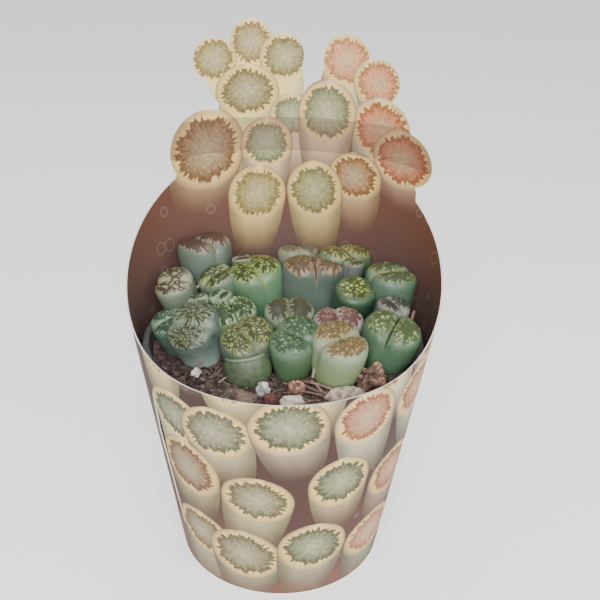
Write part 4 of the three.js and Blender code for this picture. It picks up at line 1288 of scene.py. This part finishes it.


# Small grit: matt mineral, or bark, paler where it stands out, with its own top colour on raised patches that
# face up, and darker in its pits as painted shade.
def gritStone(name, look):
    material, tree, shader = addMaterial("grit_" + name, Roughness=0.85)
    place = addNode(tree, "TexCoord").outputs["Object"]
    # patches about 2.4 mm across
    patch = addNode(tree, "TexNoise", {"Vector": place, "Scale": 1000 / 2.381, "Detail": 5.0,
                                       "Roughness": 0.7}).outputs["Fac"]
    colour = addNode(tree, "ValToRGB", {0: patch})
    colour.color_ramp.elements[0].position = 0.38
    colour.color_ramp.elements[0].color = linear(look["dark"])
    colour.color_ramp.elements[1].position = 0.62
    colour.color_ramp.elements[1].color = linear(look["light"])
    up = addNode(tree, "SeparateXYZ", {0: addNode(tree, "TexCoord").outputs["Normal"]}).outputs[2]
    up = addNode(tree, "MapRange", {"Value": up, "From Min": 0.55, "From Max": 0.85}).outputs["Result"]
    upFacingTop = addNode(tree, "MapRange", {"Value": patch, "From Min": 0.46, "From Max": 0.56}).outputs["Result"]
    upFacingTop = addNode(tree, "Math", {0: upFacingTop, 1: up}, operation="MULTIPLY").outputs[0]
    topColour = linear(look.get("top", look["light"]))
    colour = addNode(tree, "Mix", {"Factor": upFacingTop, 6: colour.outputs["Color"], 7: topColour},
                     data_type="RGBA").outputs[2]
    # pits about 1 mm apart, darkened as painted shade
    pitShade = addNode(tree, "TexVoronoi", {"Vector": place, "Scale": 1000 / 1.0}).outputs["Distance"]
    pitShade = addNode(tree, "Math", {0: patch, 1: 0.6, 2: pitShade}, operation="MULTIPLY_ADD").outputs[0]
    shadow = 1 - 0.55 * min(look["pits"], 1.3)
    pitShade = addNode(tree, "MapRange", {"Value": pitShade, "From Min": 0.38, "From Max": 0.52,
                                       "To Min": shadow, "To Max": 1.0}).outputs["Result"]
    colour = addNode(tree, "Mix", {"Factor": 1.0, 6: colour, 7: pitShade}, data_type="RGBA",
                     blend_type="MULTIPLY").outputs[2]
    tree.links.new(colour, shader.inputs["Base Color"])
    level = addNode(tree, "Math", {0: pitShade, 1: patch}, operation="ADD").outputs[0]
    bump = addNode(tree, "Bump", {"Height": level, "Strength": 0.6, "Distance": 0.0004})
    tree.links.new(bump.outputs["Normal"], shader.inputs["Normal"])
    return material


makeGrit()


oldLeafForm = {
    "middle": (-9.6, -21.5, 74.5), "half": (6.9, 6.2, 8.2),     # mm
    "lipZ": 78.9, "lipRise": (0.19, -0.16),      # where the cup ends, and how its edge climbs
    "lipStep": 0.11, "lipRoll": 0.25,            # the ledge inside the edge, and the edge's own thickness
    "wrinkle": 0.02, "wrinkles": 2.4,            # their depth as a share of its size, and how close they lie
}


def makeOldLeaf():
    form = oldLeafForm
    bm = bmesh.new()
    lipDrop = bm.verts.layers.float.new("lipDrop")
    bmesh.ops.create_uvsphere(bm, u_segments=112, v_segments=96, radius=1)
    for vert in bm.verts:
        point = vert.co.copy()
        folds = Vector((point.x * form["wrinkles"], point.y * form["wrinkles"], point.z))
        wrinkle = 1 + form["wrinkle"] * noise.noise(folds)
        away = Vector([c * h * wrinkle for c, h in zip(point, form["half"])])
        lipZ = form["lipZ"] + form["lipRise"][0] * away.x + form["lipRise"][1] * away.y
        drop = lipZ - form["middle"][2] - away.z
        shrink = 1 - form["lipStep"] * smoothStep(0, 0.35, -drop)
        roll = form["lipRoll"] * math.exp(-((drop - 0.35) / 0.4) ** 2)
        flat = Vector((away.x, away.y, 0))
        vert.co = Vector(form["middle"]) + Vector((away.x * shrink, away.y * shrink, away.z))
        vert.co += flat.normalized() * roll
        vert[lipDrop] = drop
    bmesh.ops.recalc_face_normals(bm, faces=bm.faces)
    bmesh.ops.transform(bm, matrix=Matrix.Scale(mm, 4), verts=bm.verts)
    finishPiece(bm, "old_leaf_cup", [oldLeafSkin()], ["old_leaf"])
    print("old leaf made")


# Last year's leaf, going soft: thin dull skin, mottled grey-green, with a painted highlight along its edge
# and painted shade in the gap above it.
def oldLeafSkin():
    material, tree, shader = addMaterial("shrunkenOldLeaf", Roughness=0.46, Subsurface_Weight=0.1,
                                         Subsurface_Scale=0.0015)
    place = addNode(tree, "TexCoord").outputs["Object"]
    # blotches about 2 mm across
    blotch = addNode(tree, "TexNoise", {"Vector": place, "Scale": 1000 / 2.083, "Detail": 5.0,
                                        "Roughness": 0.65}).outputs["Fac"]
    colour = addNode(tree, "ValToRGB", {0: blotch})
    stops = colour.color_ramp.elements
    stops[0].position = 0.36
    stops[0].color = linear("45543f")
    stops[1].position = 0.66
    stops[1].color = linear("5f6c50")
    drop = addNode(tree, "Attribute", attribute_name="lipDrop").outputs["Fac"]
    # painted highlight along the cup's edge
    rim = addNode(tree, "MapRange", {"Value": drop, "From Min": 0.35, "From Max": 0.75, "To Min": 0.8,
                                     "To Max": 0.0}).outputs["Result"]
    rimHighlighted = addNode(tree, "Mix", {"Factor": rim, 6: colour.outputs["Color"], 7: linear("7b8771")},
                     data_type="RGBA").outputs[2]
    # painted shade in the gap above the edge
    gap = addNode(tree, "MapRange", {"Value": drop, "From Min": -0.15, "From Max": 0.05, "To Min": 1.0,
                                     "To Max": 0.0}).outputs["Result"]
    shaded = addNode(tree, "Mix", {"Factor": gap, 6: rimHighlighted, 7: linear("35402f")},
                     data_type="RGBA").outputs[2]
    tree.links.new(shaded, shader.inputs["Base Color"])
    bump = addNode(tree, "Bump", {"Height": blotch, "Strength": 0.3, "Distance": 0.0002})
    tree.links.new(bump.outputs["Normal"], shader.inputs["Normal"])
    return material


makeOldLeaf()


studio = {
    "floor": "f4f3f1", "floorGlow": 0.7, "floorHalf": 3,     # a sheet lit a little from below, m
    "world": 0.55,
    "lampAim": (0, 0, 0.07),
    "lamps": [  # name, place in m, size in m, watts
        ("keyLamp", (0.0, -0.7, 0.5), 0.5, 8.5),
        ("fillLamp", (0.55, -0.45, 0.3), 0.5, 2.2),
        ("topLamp", (-0.1, 0.1, 0.85), 0.5, 1.5),
    ],
}


def makeStudio():
    bm = bmesh.new()
    bmesh.ops.create_grid(bm, x_segments=1, y_segments=1, size=studio["floorHalf"])
    mesh = bpy.data.meshes.new("studioFloor")
    bm.to_mesh(mesh)
    bm.free()
    floor = bpy.data.objects.new("studioFloor", mesh)
    bpy.context.scene.collection.objects.link(floor)
    material, _, shader = addMaterial("mattePaintedFloor", Roughness=0.9)
    shader.inputs["Base Color"].default_value = linear(studio["floor"])
    shader.inputs["Emission Color"].default_value = (1, 1, 1, 1)
    shader.inputs["Emission Strength"].default_value = studio["floorGlow"]
    mesh.materials.append(material)
    world = bpy.data.worlds.new("studioWorld")
    world.use_nodes = True
    world.node_tree.nodes["Background"].inputs["Color"].default_value = (1, 1, 1, 1)
    world.node_tree.nodes["Background"].inputs["Strength"].default_value = studio["world"]
    bpy.context.scene.world = world
    for name, place, size, watts in studio["lamps"]:
        data = bpy.data.lights.new(name, "AREA")
        data.size = size
        data.energy = watts
        lamp = bpy.data.objects.new(name, data)
        aim = Vector(studio["lampAim"]) - Vector(place)
        lamp.matrix_world = Matrix.Translation(place) @ aim.to_track_quat("-Z", "Y").to_matrix().to_4x4()
        bpy.context.scene.collection.objects.link(lamp)
    print("studio set")


makeStudio()
